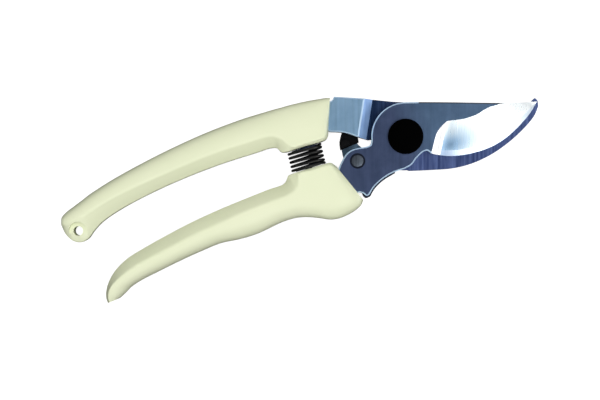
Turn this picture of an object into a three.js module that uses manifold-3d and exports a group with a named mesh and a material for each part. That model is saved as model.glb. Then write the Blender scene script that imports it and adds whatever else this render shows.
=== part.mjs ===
// Bypass pruner, lying on its back with the blades closed and the safety catch released.
// Units are millimetres. The origin is on the pivot axis, in the plane the tool rests on.
// +X runs from the pivot to the blade tips, +Y from the lower handle to the upper one, +Z up.
import * as THREE from 'three';
import { mergeVertices } from 'three/addons/utils/BufferGeometryUtils.js';
import Module from 'manifold-3d';

const wasm = await Module();
wasm.setup();

// ---- driving dimensions ----
const FIT_GAP = 0.3; // clearance between a moulding and the steel it is moulded on
const RUNNING_GAP = 0.06; // radial clearance of a shaft that turns in its hole

const BACK = 4.0; // back face of both forgings
const HOOK_FACE = 7.7; // front face of the hook's blade, where the two blades slide
const BLADE_BACK = 7.9; // back face of the cutting blade
const FRONT = 11.3; // front face of both forgings
const FORGING_CHAMFER = 0.45;
const RAMP_RUN = 3.3; // width of the slope from the hook's tang down to its blade

const GRIP_HALF = 7.5; // half the grip thickness at its ridge
const GRIP_MIDDLE = 7.5; // height of the grip's middle plane
const GRIP_EDGE = 0.8; // rounding of the grip's inner edge
const TANG_HALF = 2.6; // half the thickness of the tang bar inside a grip

const BOLT_RADIUS = 4.0;
const THREAD_RADIUS = 3.5;
const BOLT_HEAD_RADIUS = 7.3;
const BOLT_HEAD_TOP = 14.4;
const BOLT_HEAD_RIM = 0.9; // height of the head's straight rim
const BOLT_HEAD_EDGE = 0.4; // chamfer under the head
const NECK_HALF = 3.3; // half the distance across the two flats of the bolt's neck
const NUT_ACROSS_FLATS = 11;
const NUT_TOP = 3.0;
const NUT_CROWN = [0.9, 0.5]; // how far the nut's corners are turned off, in radius and in height
const TAB_WASHER_RADIUS = 7.4;
const TAB_WIDTH = 4.4;
const TAB_THICKNESS = 0.8;
const TAB_LOW = 1.0; // height of the tab's free end
const TAB_CLEARANCE = 0.15; // between the tab and the nut's flat
const THIN_GAP = 0.1; // between stacked washers
const SHIM_RADIUS = 9.0;
const HOOK_EYE_RADIUS = 13.9;
const BLADE_EYE_RADIUS = 14.1;
const EYE_STEP_RADIUS = 14.6; // step on the back of the cutting blade, clear of the hook's eye

const CATCH_PIN = [-22.1, -2.7];
const CATCH_PIN_RADIUS = 1.75;
const CATCH_LOW = 1.3;
const CATCH_HIGH = 2.9;
const KEEPER = [-12.9, 9.1];
const KEEPER_RADIUS = 1.7;

const UPPER_SEAT = [-40.9, 10.3]; // middle of the spring's seat on the upper grip
const LOWER_SEAT = [-42.0, 1.15]; // and on the lower grip
const SEAT_TILT = 0.06; // slope of both seats, in radians
const COIL_RADIUS = 6.85;
const WIRE_RADIUS = 0.55;
const COIL_TURNS = 5;
const END_TURNS = 0.6; // how much of a turn at each end lies nearly flat on its seat
const END_PITCH = 0.9;
const SEAT_GAP = 0.1; // between the wire and each seat
const PEG_RADIUS = 5.5;
const PEG_HEIGHT = 1.6;
const PEG_SHANK_RADIUS = 1.5;
const PEG_SHANK_LENGTH = 9.0;
const PEG_CHAMFER = 0.5;

const LANYARD_HOLE = [-140.4, 9.6];
const LANYARD_RADIUS = 1.95;
const LUG_RADIUS = 3.7; // spot face round the lanyard hole
const LUG_HALF = 3.6; // half the lug's thickness there

const CURVE_STEP = 2.0; // spacing of the facets along an outline

// ---- materials ----
function material(color, metalness, roughness) {
  return new THREE.MeshStandardMaterial({ color, metalness, roughness });
}

// ---- outlines ----
function asVector(point) {
  return new THREE.Vector3(point[0], point[1], 0);
}

// Points along one smooth curve through the given points. The last point is left to the next run.
function smooth(points, step = CURVE_STEP) {
  const curve = new THREE.CatmullRomCurve3(points.map(asVector), false, 'centripetal');
  const count = Math.max(1, Math.round(curve.getLength() / step));
  return curve.getSpacedPoints(count).slice(0, -1).map((p) => new THREE.Vector2(p.x, p.y));
}

// Points along an arc about a centre, angles in degrees. The last point is left to the next run.
function arc(centre, radius, from, to, step = CURVE_STEP) {
  const sweep = THREE.MathUtils.degToRad(to - from);
  const count = Math.max(2, Math.round(Math.abs(sweep) * radius / step));
  const points = [];
  for (let i = 0; i < count; i += 1) {
    const angle = THREE.MathUtils.degToRad(from) + sweep * i / count;
    points.push(new THREE.Vector2(
      centre[0] + radius * Math.cos(angle),
      centre[1] + radius * Math.sin(angle),
    ));
  }
  return points;
}

function circle(centre, radius, count = 32) {
  return arc(centre, radius, 0, 360, 2 * Math.PI * radius / count);
}

// The outline moved outwards by a distance.
function grown(points, distance) {
  const turn = THREE.ShapeUtils.isClockWise(points) ? -1 : 1;
  return points.map((point, i) => {
    const before = points[(i + points.length - 1) % points.length];
    const after = points[(i + 1) % points.length];
    const into = point.clone().sub(before).normalize();
    const out = after.clone().sub(point).normalize();
    const along = into.add(out).normalize();
    return new THREE.Vector2(along.y, -along.x).multiplyScalar(turn * distance).add(point);
  });
}

// ---- solids ----
function solid(geometry) {
  const bare = geometry.clone();
  bare.deleteAttribute('normal');
  bare.deleteAttribute('uv');
  const merged = mergeVertices(bare, 1e-4);
  return new wasm.Manifold(new wasm.Mesh({
    numProp: 3,
    vertProperties: new Float32Array(merged.attributes.position.array),
    triVerts: new Uint32Array(merged.index.array),
  }));
}

function geometryOf(manifold) {
  const mesh = manifold.getMesh();
  const geometry = new THREE.BufferGeometry();
  geometry.setAttribute('position', new THREE.BufferAttribute(new Float32Array(mesh.vertProperties), 3));
  geometry.setIndex(new THREE.BufferAttribute(new Uint32Array(mesh.triVerts), 1));
  geometry.computeVertexNormals();
  return geometry;
}

// A flat plate with an optional chamfer round both faces.
function plate(points, low, high, chamfer = 0) {
  const geometry = new THREE.ExtrudeGeometry(new THREE.Shape(points), {
    depth: high - low - 2 * chamfer,
    bevelEnabled: chamfer > 0,
    bevelThickness: chamfer,
    bevelSize: chamfer,
    bevelOffset: -chamfer,
    bevelSegments: 1,
    steps: 1,
  });
  geometry.translate(0, 0, low + chamfer);
  return solid(geometry);
}

function disc(centre, radius, low, high, count = 32) {
  return plate(circle(centre, radius, count), low, high);
}

// A round piece turned about an upright axis, from [radius, height] points that start and end on it.
function turned(profile, centre, count = 48) {
  const geometry = new THREE.LatheGeometry(profile.map((p) => new THREE.Vector2(p[0], p[1])), count);
  geometry.rotateX(Math.PI / 2);
  geometry.translate(centre[0], centre[1], 0);
  return solid(geometry);
}

function block(low, high) {
  const geometry = new THREE.BoxGeometry(high[0] - low[0], high[1] - low[1], high[2] - low[2]);
  geometry.translate((low[0] + high[0]) / 2, (low[1] + high[1]) / 2, (low[2] + high[2]) / 2);
  return solid(geometry);
}

const pruner = new THREE.Group();

function addPart(name, shape, finish) {
  const mesh = new THREE.Mesh(geometryOf(shape), finish);
  mesh.name = name;
  pruner.add(mesh);
}

// ---- tang bars: the steel that runs inside each grip ----
const UPPER_TANG = [
  ...smooth([[-24.5, 15.6], [-34, 16.2], [-50, 17.6], [-80, 19.6], [-106, 18.4]], 6),
  ...smooth([[-106, 18.4], [-108.4, 20.8], [-106, 23.2]], 1.6),
  ...smooth([[-106, 23.2], [-80, 25.6], [-50, 25], [-34, 23.6], [-24.5, 23.2]], 6),
];
const UPPER_TANG_KEYS = [[-66, 22], [-94, 21.9]];

const LOWER_TANG = [
  ...smooth([[-24.5, -13.6], [-36, -14.4], [-50, -13.4], [-80, -12.6], [-103, -13]], 6),
  ...smooth([[-103, -13], [-105.4, -10.7], [-103, -8.4]], 1.6),
  ...smooth([[-103, -8.4], [-80, -6], [-50, -5.4], [-36, -5], [-24.5, -4.6]], 6),
];
const LOWER_TANG_KEYS = [[-66, -9.4], [-92, -9.8]];
const KEY_HOLE_RADIUS = 1.9;

function tangBar(outline, keys, extra) {
  let bar = plate(grown(outline, extra), GRIP_MIDDLE - TANG_HALF - extra, GRIP_MIDDLE + TANG_HALF + extra);
  for (const key of keys) {
    bar = bar.subtract(disc(key, KEY_HOLE_RADIUS - extra, 0, 2 * GRIP_MIDDLE, 20));
  }
  return bar;
}

// ---- cutting blade ----
const SPINE = [[10, 11.5], [20, 7.8], [30, 4.0], [40, 0.2], [47, -2.3], [52, -3.7], [56.3, -5.0]];
const CUTTING_EDGE = [
  [56.3, -5.0], [53.3, -7.6], [50, -9.8], [45, -12.4], [40, -14.4],
  [35, -15.7], [30, -16.2], [25, -16.0], [20, -15.3], [14, -13.6], [7.5, -10.2],
];
const BLADE_NECK_TOP = [[-30.6, -3.2], [-28.7, -1.1], [-25.2, 1.7], [-22.3, 2.4], [-16.5, 1.5]];
const BLADE_SHOULDER = [[-16.5, 1.5], [-14.7, 1.75], [-13.7, 3.4]];
const BLADE_HEEL = [[7.5, -10.2], [6.5, -8.6], [4.6, -8.5], [1.2, -10], [-1.6, -11.8], [-4.8, -12.4]];
const BLADE_NECK_BOTTOM = [[-4.8, -12.4], [-10, -12.3], [-15, -13.3], [-19.5, -15.3], [-22.3, -17.5]];
const BLADE_NOTCH = [[-22.3, -17.5], [-23.5, -17.6], [-24.5, -16.1], [-26.2, -14.9]];
const BLADE_OUTLINE = [
  ...smooth(BLADE_NECK_TOP),
  ...smooth(BLADE_SHOULDER, 1),
  ...arc([0, 0], BLADE_EYE_RADIUS, 166, 72),
  ...smooth([[4.2, 13.5], ...SPINE], 4),
  ...smooth(CUTTING_EDGE, 2.5),
  ...smooth(BLADE_HEEL, 1.5),
  ...smooth(BLADE_NECK_BOTTOM),
  ...smooth(BLADE_NOTCH, 1),
  new THREE.Vector2(-26.9, -15),
  new THREE.Vector2(-31.6, -4.2),
];

// The back half of the forging is a little wider than its face, below the neck.
const NECK_FLARE = [
  ...smooth([[-9, -12.75], [-15, -14.05], [-19.4, -16.1], [-22.0, -18.3]]),
  ...smooth([[-22.0, -18.3], [-23.9, -18.4], [-24.9, -16.9]], 1),
  new THREE.Vector2(-24.9, -14),
  new THREE.Vector2(-9, -11),
];
const NECK_FLARE_DEPTH = 3.0; // how far its front is behind the forging's

// The ground bevel: each rib runs from the bevel's upper line to the cutting edge, and says how
// deep the grind is at the edge, as a part of the blade's thickness.
const EDGE_LAND = 0.25; // thickness left at the cutting edge
const BEVEL_STEEPEST = 0.25; // rise over run: where the blade narrows to its tip, the spine thins instead
const BEVEL_RIBS = [
  { top: [11.4, -4.6], edge: [7.3, -10.6], depth: 0 },
  { top: [12.7, -3.0], edge: [8.0, -11.0], depth: 0.28 },
  { top: [14.6, -1.6], edge: [8.9, -11.4], depth: 0.64 },
  { top: [16.7, -0.5], edge: [9.9, -11.9], depth: 0.92 },
  { top: [18.4, 0.0], edge: [10.9, -12.4], depth: 1 },
  { top: [22.1, -0.8], edge: [17.0, -14.6], depth: 1 },
  { top: [26.0, -1.5], edge: [23.0, -15.8], depth: 1 },
  { top: [30.8, -1.5], edge: [29.0, -16.2], depth: 1 },
  { top: [34.2, -0.8], edge: [35.5, -15.6], depth: 1 },
  { top: [37.5, -0.5], edge: [42.0, -13.7], depth: 1 },
  { top: [42.0, -1.1], edge: [48.0, -10.9], depth: 1 },
  { top: [48.0, -2.4], edge: [52.5, -8.1], depth: 1 },
  { top: [53.0, -3.8], edge: [55.4, -6.0], depth: 1 },
  { top: [57.0, -4.9], edge: [57.8, -5.2], depth: 1 },
];

// Everything above the ground bevel, as a strip of four-sided ribs.
function bevelCutter() {
  const thickness = FRONT - BLADE_BACK - EDGE_LAND;
  const over = 0.35; // how far each rib runs on past both ends, as a part of its length
  const positions = [];
  for (const rib of BEVEL_RIBS) {
    const edge = new THREE.Vector3(rib.edge[0], rib.edge[1], FRONT + 0.01 - thickness * rib.depth);
    const top = new THREE.Vector3(rib.top[0], rib.top[1], edge.z);
    top.z += Math.min(thickness * rib.depth, BEVEL_STEEPEST * top.distanceTo(edge));
    const first = top.clone().lerp(edge, -over / 3);
    const last = top.clone().lerp(edge, 1 + over);
    const roof = FRONT + 5;
    positions.push(first.x, first.y, first.z, last.x, last.y, last.z);
    positions.push(last.x, last.y, roof, first.x, first.y, roof);
  }
  return solid(stripGeometry(positions, 4));
}

// A closed skin over rings of points, each ring with the same number of points, with flat ends.
function stripGeometry(positions, perRing) {
  const rings = positions.length / 3 / perRing;
  const index = [];
  for (let i = 0; i + 1 < rings; i += 1) {
    for (let j = 0; j < perRing; j += 1) {
      const a = i * perRing + j;
      const b = i * perRing + (j + 1) % perRing;
      index.push(a, b, a + perRing, b, b + perRing, a + perRing);
    }
  }
  const last = (rings - 1) * perRing;
  for (let j = 1; j + 1 < perRing; j += 1) {
    index.push(0, j + 1, j);
    index.push(last, last + j, last + j + 1);
  }
  const geometry = new THREE.BufferGeometry();
  geometry.setAttribute('position', new THREE.Float32BufferAttribute(positions, 3));
  geometry.setIndex(index);
  return outwards(geometry);
}

// The same skin with its faces turned to point out, whichever way round its rings were given.
function outwards(geometry) {
  const index = geometry.index.array;
  const position = geometry.attributes.position;
  const [a, b, c] = [new THREE.Vector3(), new THREE.Vector3(), new THREE.Vector3()];
  let volume = 0;
  for (let i = 0; i < index.length; i += 3) {
    a.fromBufferAttribute(position, index[i]);
    b.fromBufferAttribute(position, index[i + 1]);
    c.fromBufferAttribute(position, index[i + 2]);
    volume += a.dot(b.cross(c));
  }
  if (volume < 0) {
    for (let i = 0; i < index.length; i += 3) {
      [index[i], index[i + 1]] = [index[i + 1], index[i]];
    }
  }
  return geometry;
}

const PIN_HEAD_RADIUS = 2.45;
const PIN_COUNTERBORE_RADIUS = 3.2;
const PIN_COUNTERBORE_DEPTH = 1.3;

function boltNeck(extra) {
  const round = disc([0, 0], BOLT_RADIUS + extra, BLADE_BACK - 1, FRONT + 1, 48);
  const flats = block([-10, -NECK_HALF - extra, 0], [10, NECK_HALF + extra, 20]);
  return round.intersect(flats);
}

function cuttingBlade() {
  const blank = plate(BLADE_OUTLINE, BACK, FRONT, FORGING_CHAMFER);
  const eyeStep = disc([0, 0], EYE_STEP_RADIUS, BACK - 1, BLADE_BACK, 64);
  const bladeStep = block([-9, -40, BACK - 1], [70, 40, BLADE_BACK]);
  const catchHole = disc(CATCH_PIN, CATCH_PIN_RADIUS + RUNNING_GAP, 0, FRONT + 1);
  const counterbore = disc(CATCH_PIN, PIN_COUNTERBORE_RADIUS, FRONT - PIN_COUNTERBORE_DEPTH, FRONT + 1);
  return blank
    .add(plate(NECK_FLARE, BACK, FRONT - NECK_FLARE_DEPTH))
    .subtract(eyeStep)
    .subtract(bladeStep)
    .subtract(bevelCutter())
    .add(tangBar(LOWER_TANG, LOWER_TANG_KEYS, 0))
    .subtract(boltNeck(RUNNING_GAP))
    .subtract(catchHole)
    .subtract(counterbore)
    .subtract(springPeg(LOWER_SEAT, 1, RUNNING_GAP));
}

// ---- hook blade ----
const HOOK_TOP = [[-22.1, 25.6], [-10, 20.3], [0, 15.5], [4, 13.8]];
const HOOK_SHEAR_EDGE = [
  [4, 13.8], [9.2, 10.4], [12.6, 5.6], [13.2, 0.4], [14.4, -4.6],
  [18.6, -8.9], [26, -11.7], [35, -11.6], [44, -8.9], [51, -5.6], [56.2, -3.3],
];
const HOOK_TIP = [[56.2, -3.3], [56.8, -4.6], [56.3, -7]];
const HOOK_BELLY = [
  [56.3, -7], [53.3, -10.2], [45, -14.8], [34.2, -18.5], [25.8, -19.8],
  [19.5, -19.8], [13.8, -19], [5, -16.5], [-3.6, -13.8],
];
const HOOK_THROAT = [[-14.9, 3.9], [-18.7, 6.7], [-23.3, 10.2], [-29, 12.7]];
const HOOK_OUTLINE = [
  ...smooth(HOOK_TOP, 4),
  ...smooth(HOOK_SHEAR_EDGE, 3),
  ...smooth(HOOK_TIP, 1.5),
  ...smooth(HOOK_BELLY, 3),
  ...arc([0, 0], HOOK_EYE_RADIUS, -106, -197, 2.5),
  ...smooth(HOOK_THROAT),
  new THREE.Vector2(-29.7, 13.6),
  new THREE.Vector2(-24.6, 24.2),
  new THREE.Vector2(-23.3, 24.5),
];
const RAMP_FOOT = [[-7.6, 18.8], [-15.2, 5.0]]; // the foot of the slope, top and bottom

// Everything in front of the hook's blade, up to the slope that ends its tang.
function hookRecess() {
  const along = new THREE.Vector3(RAMP_FOOT[0][0] - RAMP_FOOT[1][0], RAMP_FOOT[0][1] - RAMP_FOOT[1][1], 0);
  const turn = Math.atan2(along.y, along.x);
  const rise = FRONT + 0.01 - HOOK_FACE;
  const section = [[0, 0], [100, 0], [100, 9], [-RAMP_RUN * 9 / rise, 9]];
  const shape = new THREE.Shape(section.map((p) => new THREE.Vector2(p[0], p[1])));
  const geometry = new THREE.ExtrudeGeometry(shape, { depth: 160, bevelEnabled: false });
  geometry.translate(0, 0, -80);
  geometry.rotateX(Math.PI / 2);
  geometry.rotateZ(turn - Math.PI / 2);
  geometry.translate(RAMP_FOOT[1][0], RAMP_FOOT[1][1], HOOK_FACE);
  return solid(geometry);
}

const KEEPER_SHANK_RADIUS = 1.2;
const KEEPER_SHANK_TOP = 7.0;
const SHIM_SEAT_DEPTH = 0.5;
const SHIM_GAP = 0.05; // between the shim and the bottom of its seat

function hookBlade() {
  const blank = plate(HOOK_OUTLINE, BACK, FRONT, FORGING_CHAMFER);
  const boltHole = disc([0, 0], BOLT_RADIUS + RUNNING_GAP, 0, FRONT, 48);
  const shimSeat = disc([0, 0], SHIM_RADIUS + 0.2, HOOK_FACE - SHIM_SEAT_DEPTH, FRONT, 48);
  const keeperHole = disc(KEEPER, KEEPER_SHANK_RADIUS + RUNNING_GAP, 0, KEEPER_SHANK_TOP + RUNNING_GAP);
  return blank
    .subtract(hookRecess())
    .add(tangBar(UPPER_TANG, UPPER_TANG_KEYS, 0))
    .subtract(boltHole)
    .subtract(shimSeat)
    .subtract(keeperHole)
    .subtract(springPeg(UPPER_SEAT, -1, RUNNING_GAP));
}

// ---- grips ----
// Each rib crosses the grip: its inner edge, the ridge on its face, and its outer edge. full is half
// the thickness at the ridge (GRIP_HALF where it isn't given), lip half the thickness at the inner
// edge, and round how square the section is from the ridge to the outer edge (2 is an ellipse).
const UPPER_RIBS = [
  { inner: [-146.4, 12.9], ridge: [-146.0, 13.7], outer: [-146.3, 14.8], full: 4.0, lip: 2.2, round: 2.2 },
  { inner: [-146.0, 10.0], ridge: [-144.6, 13.8], outer: [-145.3, 17.2], full: 5.8, lip: 2.2, round: 2.2 },
  { inner: [-144.2, 6.6], ridge: [-142.4, 13.8], outer: [-143.2, 18.5], full: 6.7, lip: 2.2, round: 2.2 },
  { inner: [-141.2, 4.8], ridge: [-139.6, 13.9], outer: [-139.6, 19.7], full: 7.1, lip: 2.3, round: 2.2 },
  { inner: [-137.8, 5.2], ridge: [-136.2, 14.5], outer: [-135.6, 20.9], full: 7.3, lip: 2.6, round: 2.2 },
  { inner: [-134.2, 7.6], ridge: [-132.4, 15.4], outer: [-131.6, 22.2], full: 7.4, lip: 2.9, round: 2.2 },
  { inner: [-129.4, 9.9], ridge: [-127.8, 16.5], outer: [-126.8, 23.4], lip: 3.2, round: 2.2 },
  { inner: [-120, 12.2], ridge: [-119.2, 17.9], outer: [-118.6, 25.1], lip: 3.2, round: 2.2 },
  { inner: [-105, 14.2], ridge: [-104.6, 19.1], outer: [-104.2, 27.3], lip: 3.2, round: 2.2 },
  { inner: [-90, 15.2], ridge: [-90, 20], outer: [-90, 28.9], lip: 3.2, round: 2.2 },
  { inner: [-75, 15.4], ridge: [-75, 20.4], outer: [-75, 29.9], lip: 3.2, round: 2.2 },
  { inner: [-60, 14.8], ridge: [-60, 19.8], outer: [-60, 30], lip: 3.2, round: 2.2 },
  { inner: [-54.2, 14.6], ridge: [-54.6, 19.4], outer: [-54.4, 29.7], lip: 3.2, round: 2.3 },
  { inner: [-51.7, 13.8], ridge: [-51.3, 18.5], outer: [-50.8, 29.5], lip: 3.4, round: 2.4 },
  { inner: [-50.5, 11.6], ridge: [-48.7, 16.4], outer: [-47.6, 29.3], lip: 4.2, round: 2.5 },
  { inner: [-48.5, 10.8], ridge: [-46.8, 13.2], outer: [-44.2, 29.0], lip: 5.8, round: 2.6 },
  { inner: [-45.2, 10.6], ridge: [-45.3, 11.7], outer: [-41.2, 28.8], lip: 6.8, round: 2.7 },
  { inner: [-40, 10.3], ridge: [-40, 11.4], outer: [-37.4, 28.4], lip: 6.8, round: 2.8 },
  { inner: [-34, 9.9], ridge: [-34.2, 11], outer: [-31.8, 27.6], lip: 6.8, round: 3 },
  { inner: [-31.2, 10.1], ridge: [-31.7, 11.1], outer: [-28.2, 26.9], full: 7.1, lip: 6.2, round: 3.2 },
  { inner: [-29.9, 11.3], ridge: [-30.3, 12.2], outer: [-25.6, 26.4], full: 6.2, lip: 5.2, round: 3.4 },
  { inner: [-29.2, 12.9], ridge: [-29.2, 13.8], outer: [-23.8, 25.8], full: 5.0, lip: 4.4, round: 3.6 },
];
const LOWER_RIBS = [
  { inner: [-139.3, -22.7], ridge: [-138.3, -22.6], outer: [-134.0, -22.4], full: 4.4, lip: 2.5, round: 2.2 },
  { inner: [-139.3, -20.8], ridge: [-138.0, -20.6], outer: [-132.4, -21.8], full: 5.6, lip: 2.5, round: 2.2 },
  { inner: [-138.4, -18], ridge: [-136.8, -18.2], outer: [-130.4, -20.9], full: 6.5, lip: 2.4, round: 2.2 },
  { inner: [-136.2, -14.7], ridge: [-134.4, -16.1], outer: [-128.2, -19.8], full: 7.1, lip: 2.2, round: 2.2 },
  { inner: [-132.2, -11.2], ridge: [-130.6, -14.4], outer: [-125.4, -19], full: 7.4, lip: 2.1, round: 2.2 },
  { inner: [-126, -8.2], ridge: [-125.2, -12.6], outer: [-121.4, -18.3], lip: 2.0, round: 2.2 },
  { inner: [-118, -6.4], ridge: [-117.4, -11.1], outer: [-115.4, -17.6], lip: 2.0, round: 2.2 },
  { inner: [-105, -4.3], ridge: [-105, -9.4], outer: [-104.4, -16.4], lip: 2.0, round: 2.2 },
  { inner: [-95, -3], ridge: [-95, -8.1], outer: [-95, -15.7], lip: 2.0, round: 2.2 },
  { inner: [-87, -2.3], ridge: [-87, -7.5], outer: [-87, -15.4], lip: 2.0, round: 2.2 },
  { inner: [-79, -1.8], ridge: [-79, -6.8], outer: [-79, -16.5], lip: 2.0, round: 2.2 },
  { inner: [-71, -1.5], ridge: [-71, -6.4], outer: [-71, -16.9], lip: 2.0, round: 2.2 },
  { inner: [-61, -1.2], ridge: [-61, -6.2], outer: [-60, -15.9], lip: 2.0, round: 2.2 },
  { inner: [-54.2, -1.2], ridge: [-54.4, -6.1], outer: [-54.2, -16.2], lip: 2.0, round: 2.3 },
  { inner: [-52.4, -0.1], ridge: [-51.6, -5.5], outer: [-50.4, -17.2], lip: 2.4, round: 2.4 },
  { inner: [-51.2, 1.3], ridge: [-49.3, -4.2], outer: [-47.2, -18.5], lip: 3.7, round: 2.5 },
  { inner: [-49.4, 1.5], ridge: [-48, -2.2], outer: [-44.2, -20], lip: 5.2, round: 2.6 },
  { inner: [-46.6, 1.4], ridge: [-46.9, 0.4], outer: [-41.2, -21.6], lip: 6.8, round: 2.7 },
  { inner: [-41, 1.1], ridge: [-41, 0], outer: [-37.4, -22.5], lip: 6.8, round: 2.8 },
  { inner: [-34.9, 0.7], ridge: [-35.1, -0.4], outer: [-32, -22.2], lip: 6.8, round: 3 },
  { inner: [-32.9, 0.4], ridge: [-33.4, -0.5], outer: [-29, -21.4], full: 7.1, lip: 6.2, round: 3.2 },
  { inner: [-31.6, -1], ridge: [-32.0, -1.8], outer: [-26.8, -20.4], full: 6.2, lip: 5.2, round: 3.4 },
  { inner: [-30.8, -2.3], ridge: [-30.7, -3.2], outer: [-25.3, -18.8], full: 5.0, lip: 4.4, round: 3.6 },
];
const STATIONS_PER_RIB = 2;
const ROUND_STEPS = 6; // facets from the ridge to the outer edge

// One ring of points round the grip, from where its section curves cross at one station.
function gripRing(inner, ridge, outer) {
  const toRidge = ridge.clone().sub(inner).setZ(0).setLength(GRIP_EDGE);
  const half = [
    [inner.x, inner.y, inner.z - GRIP_EDGE],
    [inner.x + toRidge.x, inner.y + toRidge.y, inner.z],
    [ridge.x, ridge.y, ridge.z],
  ];
  for (let i = 1; i < ROUND_STEPS; i += 1) {
    const out = Math.sin(i / ROUND_STEPS * Math.PI / 2);
    const height = ridge.z * (1 - out ** outer.z) ** (1 / outer.z);
    half.push([ridge.x + (outer.x - ridge.x) * out, ridge.y + (outer.y - ridge.y) * out, height]);
  }
  const front = half.map((p) => [p[0], p[1], GRIP_MIDDLE + p[2]]);
  const back = half.map((p) => [p[0], p[1], GRIP_MIDDLE - p[2]]).reverse();
  return [...front, [outer.x, outer.y, GRIP_MIDDLE], ...back];
}

function gripBody(ribs) {
  const curve = (at) => new THREE.CatmullRomCurve3(ribs.map(at), false, 'centripetal');
  const inner = curve((rib) => new THREE.Vector3(rib.inner[0], rib.inner[1], rib.lip));
  const ridge = curve((rib) => new THREE.Vector3(rib.ridge[0], rib.ridge[1], rib.full ?? GRIP_HALF));
  const outer = curve((rib) => new THREE.Vector3(rib.outer[0], rib.outer[1], rib.round));
  const stations = (ribs.length - 1) * STATIONS_PER_RIB;
  const rings = [];
  for (let i = 0; i <= stations; i += 1) {
    const t = i / stations;
    rings.push(gripRing(inner.getPoint(t), ridge.getPoint(t), outer.getPoint(t)));
  }
  return solid(stripGeometry(rings.flat(2), rings[0].length));
}

function lanyardCut() {
  const hole = disc(LANYARD_HOLE, LANYARD_RADIUS, -1, 2 * GRIP_MIDDLE + 1, 28);
  const front = disc(LANYARD_HOLE, LUG_RADIUS, GRIP_MIDDLE + LUG_HALF, 2 * GRIP_MIDDLE + 1, 28);
  const back = disc(LANYARD_HOLE, LUG_RADIUS, -1, GRIP_MIDDLE - LUG_HALF, 28);
  return hole.add(front).add(back);
}

// The grip with the pocket that its forging's end and tang fill.
function grip(ribs, forging, tang, keys, seat, side) {
  const forgingPocket = plate(grown(forging, FIT_GAP), BACK - FIT_GAP, FRONT + FIT_GAP);
  return gripBody(ribs)
    .subtract(forgingPocket)
    .subtract(tangBar(tang, keys, FIT_GAP))
    .subtract(springPeg(seat, side, RUNNING_GAP));
}

// ---- spring and its pegs ----
// side is 1 on the lower grip, where the peg stands up in +Y, and -1 on the upper one.
function springPeg(seat, side, extra) {
  const profile = [
    [0, -PEG_SHANK_LENGTH - extra],
    [PEG_SHANK_RADIUS + extra, -PEG_SHANK_LENGTH - extra],
    [PEG_SHANK_RADIUS + extra, FIT_GAP],
    [PEG_RADIUS + extra, FIT_GAP],
    [PEG_RADIUS + extra, PEG_HEIGHT - PEG_CHAMFER],
    [PEG_RADIUS - PEG_CHAMFER + extra, PEG_HEIGHT],
    [0, PEG_HEIGHT],
  ];
  const geometry = new THREE.LatheGeometry(profile.map((p) => new THREE.Vector2(p[0], p[1])), 28);
  geometry.rotateZ(side > 0 ? -SEAT_TILT : Math.PI - SEAT_TILT);
  geometry.translate(seat[0], seat[1], GRIP_MIDDLE);
  return solid(geometry);
}

// The middle line of the spring's wire: nearly flat ends, and open turns between them.
class CoilPath extends THREE.Curve {
  getPoint(t, target = new THREE.Vector3()) {
    const turns = t * COIL_TURNS;
    const openTurns = COIL_TURNS - 2 * END_TURNS;
    const length = Math.hypot(UPPER_SEAT[0] - LOWER_SEAT[0], UPPER_SEAT[1] - LOWER_SEAT[1]);
    const rise = length - 2 * WIRE_RADIUS - 2 * SEAT_GAP;
    const openPitch = (rise - 2 * END_TURNS * END_PITCH) / openTurns;
    const open = THREE.MathUtils.clamp(turns - END_TURNS, 0, openTurns);
    const along = (WIRE_RADIUS + SEAT_GAP + (turns - open) * END_PITCH + open * openPitch) / length;
    const angle = turns * 2 * Math.PI;
    const across = COIL_RADIUS * Math.cos(angle);
    const x = LOWER_SEAT[0] + (UPPER_SEAT[0] - LOWER_SEAT[0]) * along;
    const y = LOWER_SEAT[1] + (UPPER_SEAT[1] - LOWER_SEAT[1]) * along;
    return target.set(
      x + across * Math.cos(SEAT_TILT),
      y - across * Math.sin(SEAT_TILT),
      GRIP_MIDDLE + COIL_RADIUS * Math.sin(angle),
    );
  }
}

function returnSpring() {
  const wire = new THREE.Shape(circle([0, 0], WIRE_RADIUS, 8));
  return solid(new THREE.ExtrudeGeometry(wire, { steps: 90, extrudePath: new CoilPath() }));
}

// ---- pivot ----
function pivotBolt() {
  const dome = [];
  const domeSteps = 8;
  const rim = FRONT + BOLT_HEAD_RIM;
  for (let i = 0; i <= domeSteps; i += 1) {
    const angle = i / domeSteps * Math.PI / 2;
    dome.push([BOLT_HEAD_RADIUS * Math.cos(angle) ** 0.6, rim + (BOLT_HEAD_TOP - rim) * Math.sin(angle)]);
  }
  dome[domeSteps] = [0, BOLT_HEAD_TOP];
  const head = turned([
    [0, FRONT + RUNNING_GAP],
    [BOLT_HEAD_RADIUS - BOLT_HEAD_EDGE, FRONT + RUNNING_GAP],
    [BOLT_HEAD_RADIUS, FRONT + BOLT_HEAD_EDGE],
    ...dome,
  ], [0, 0]);
  const neck = boltNeck(0).intersect(block([-10, -10, BLADE_BACK], [10, 10, FRONT + 0.5]));
  const shank = turned([
    [0, 0],
    [THREAD_RADIUS - 0.5, 0],
    [THREAD_RADIUS, 0.5],
    [THREAD_RADIUS, BACK - 0.1],
    [BOLT_RADIUS, BACK + 0.1],
    [BOLT_RADIUS, BLADE_BACK],
    [0, BLADE_BACK],
  ], [0, 0]);
  return head.add(neck).add(shank);
}

function hexagon(acrossFlats) {
  const points = [];
  for (let i = 0; i < 6; i += 1) {
    const angle = i * Math.PI / 3;
    const radius = acrossFlats / Math.sqrt(3);
    points.push(new THREE.Vector2(radius * Math.cos(angle), radius * Math.sin(angle)));
  }
  return points;
}

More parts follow.
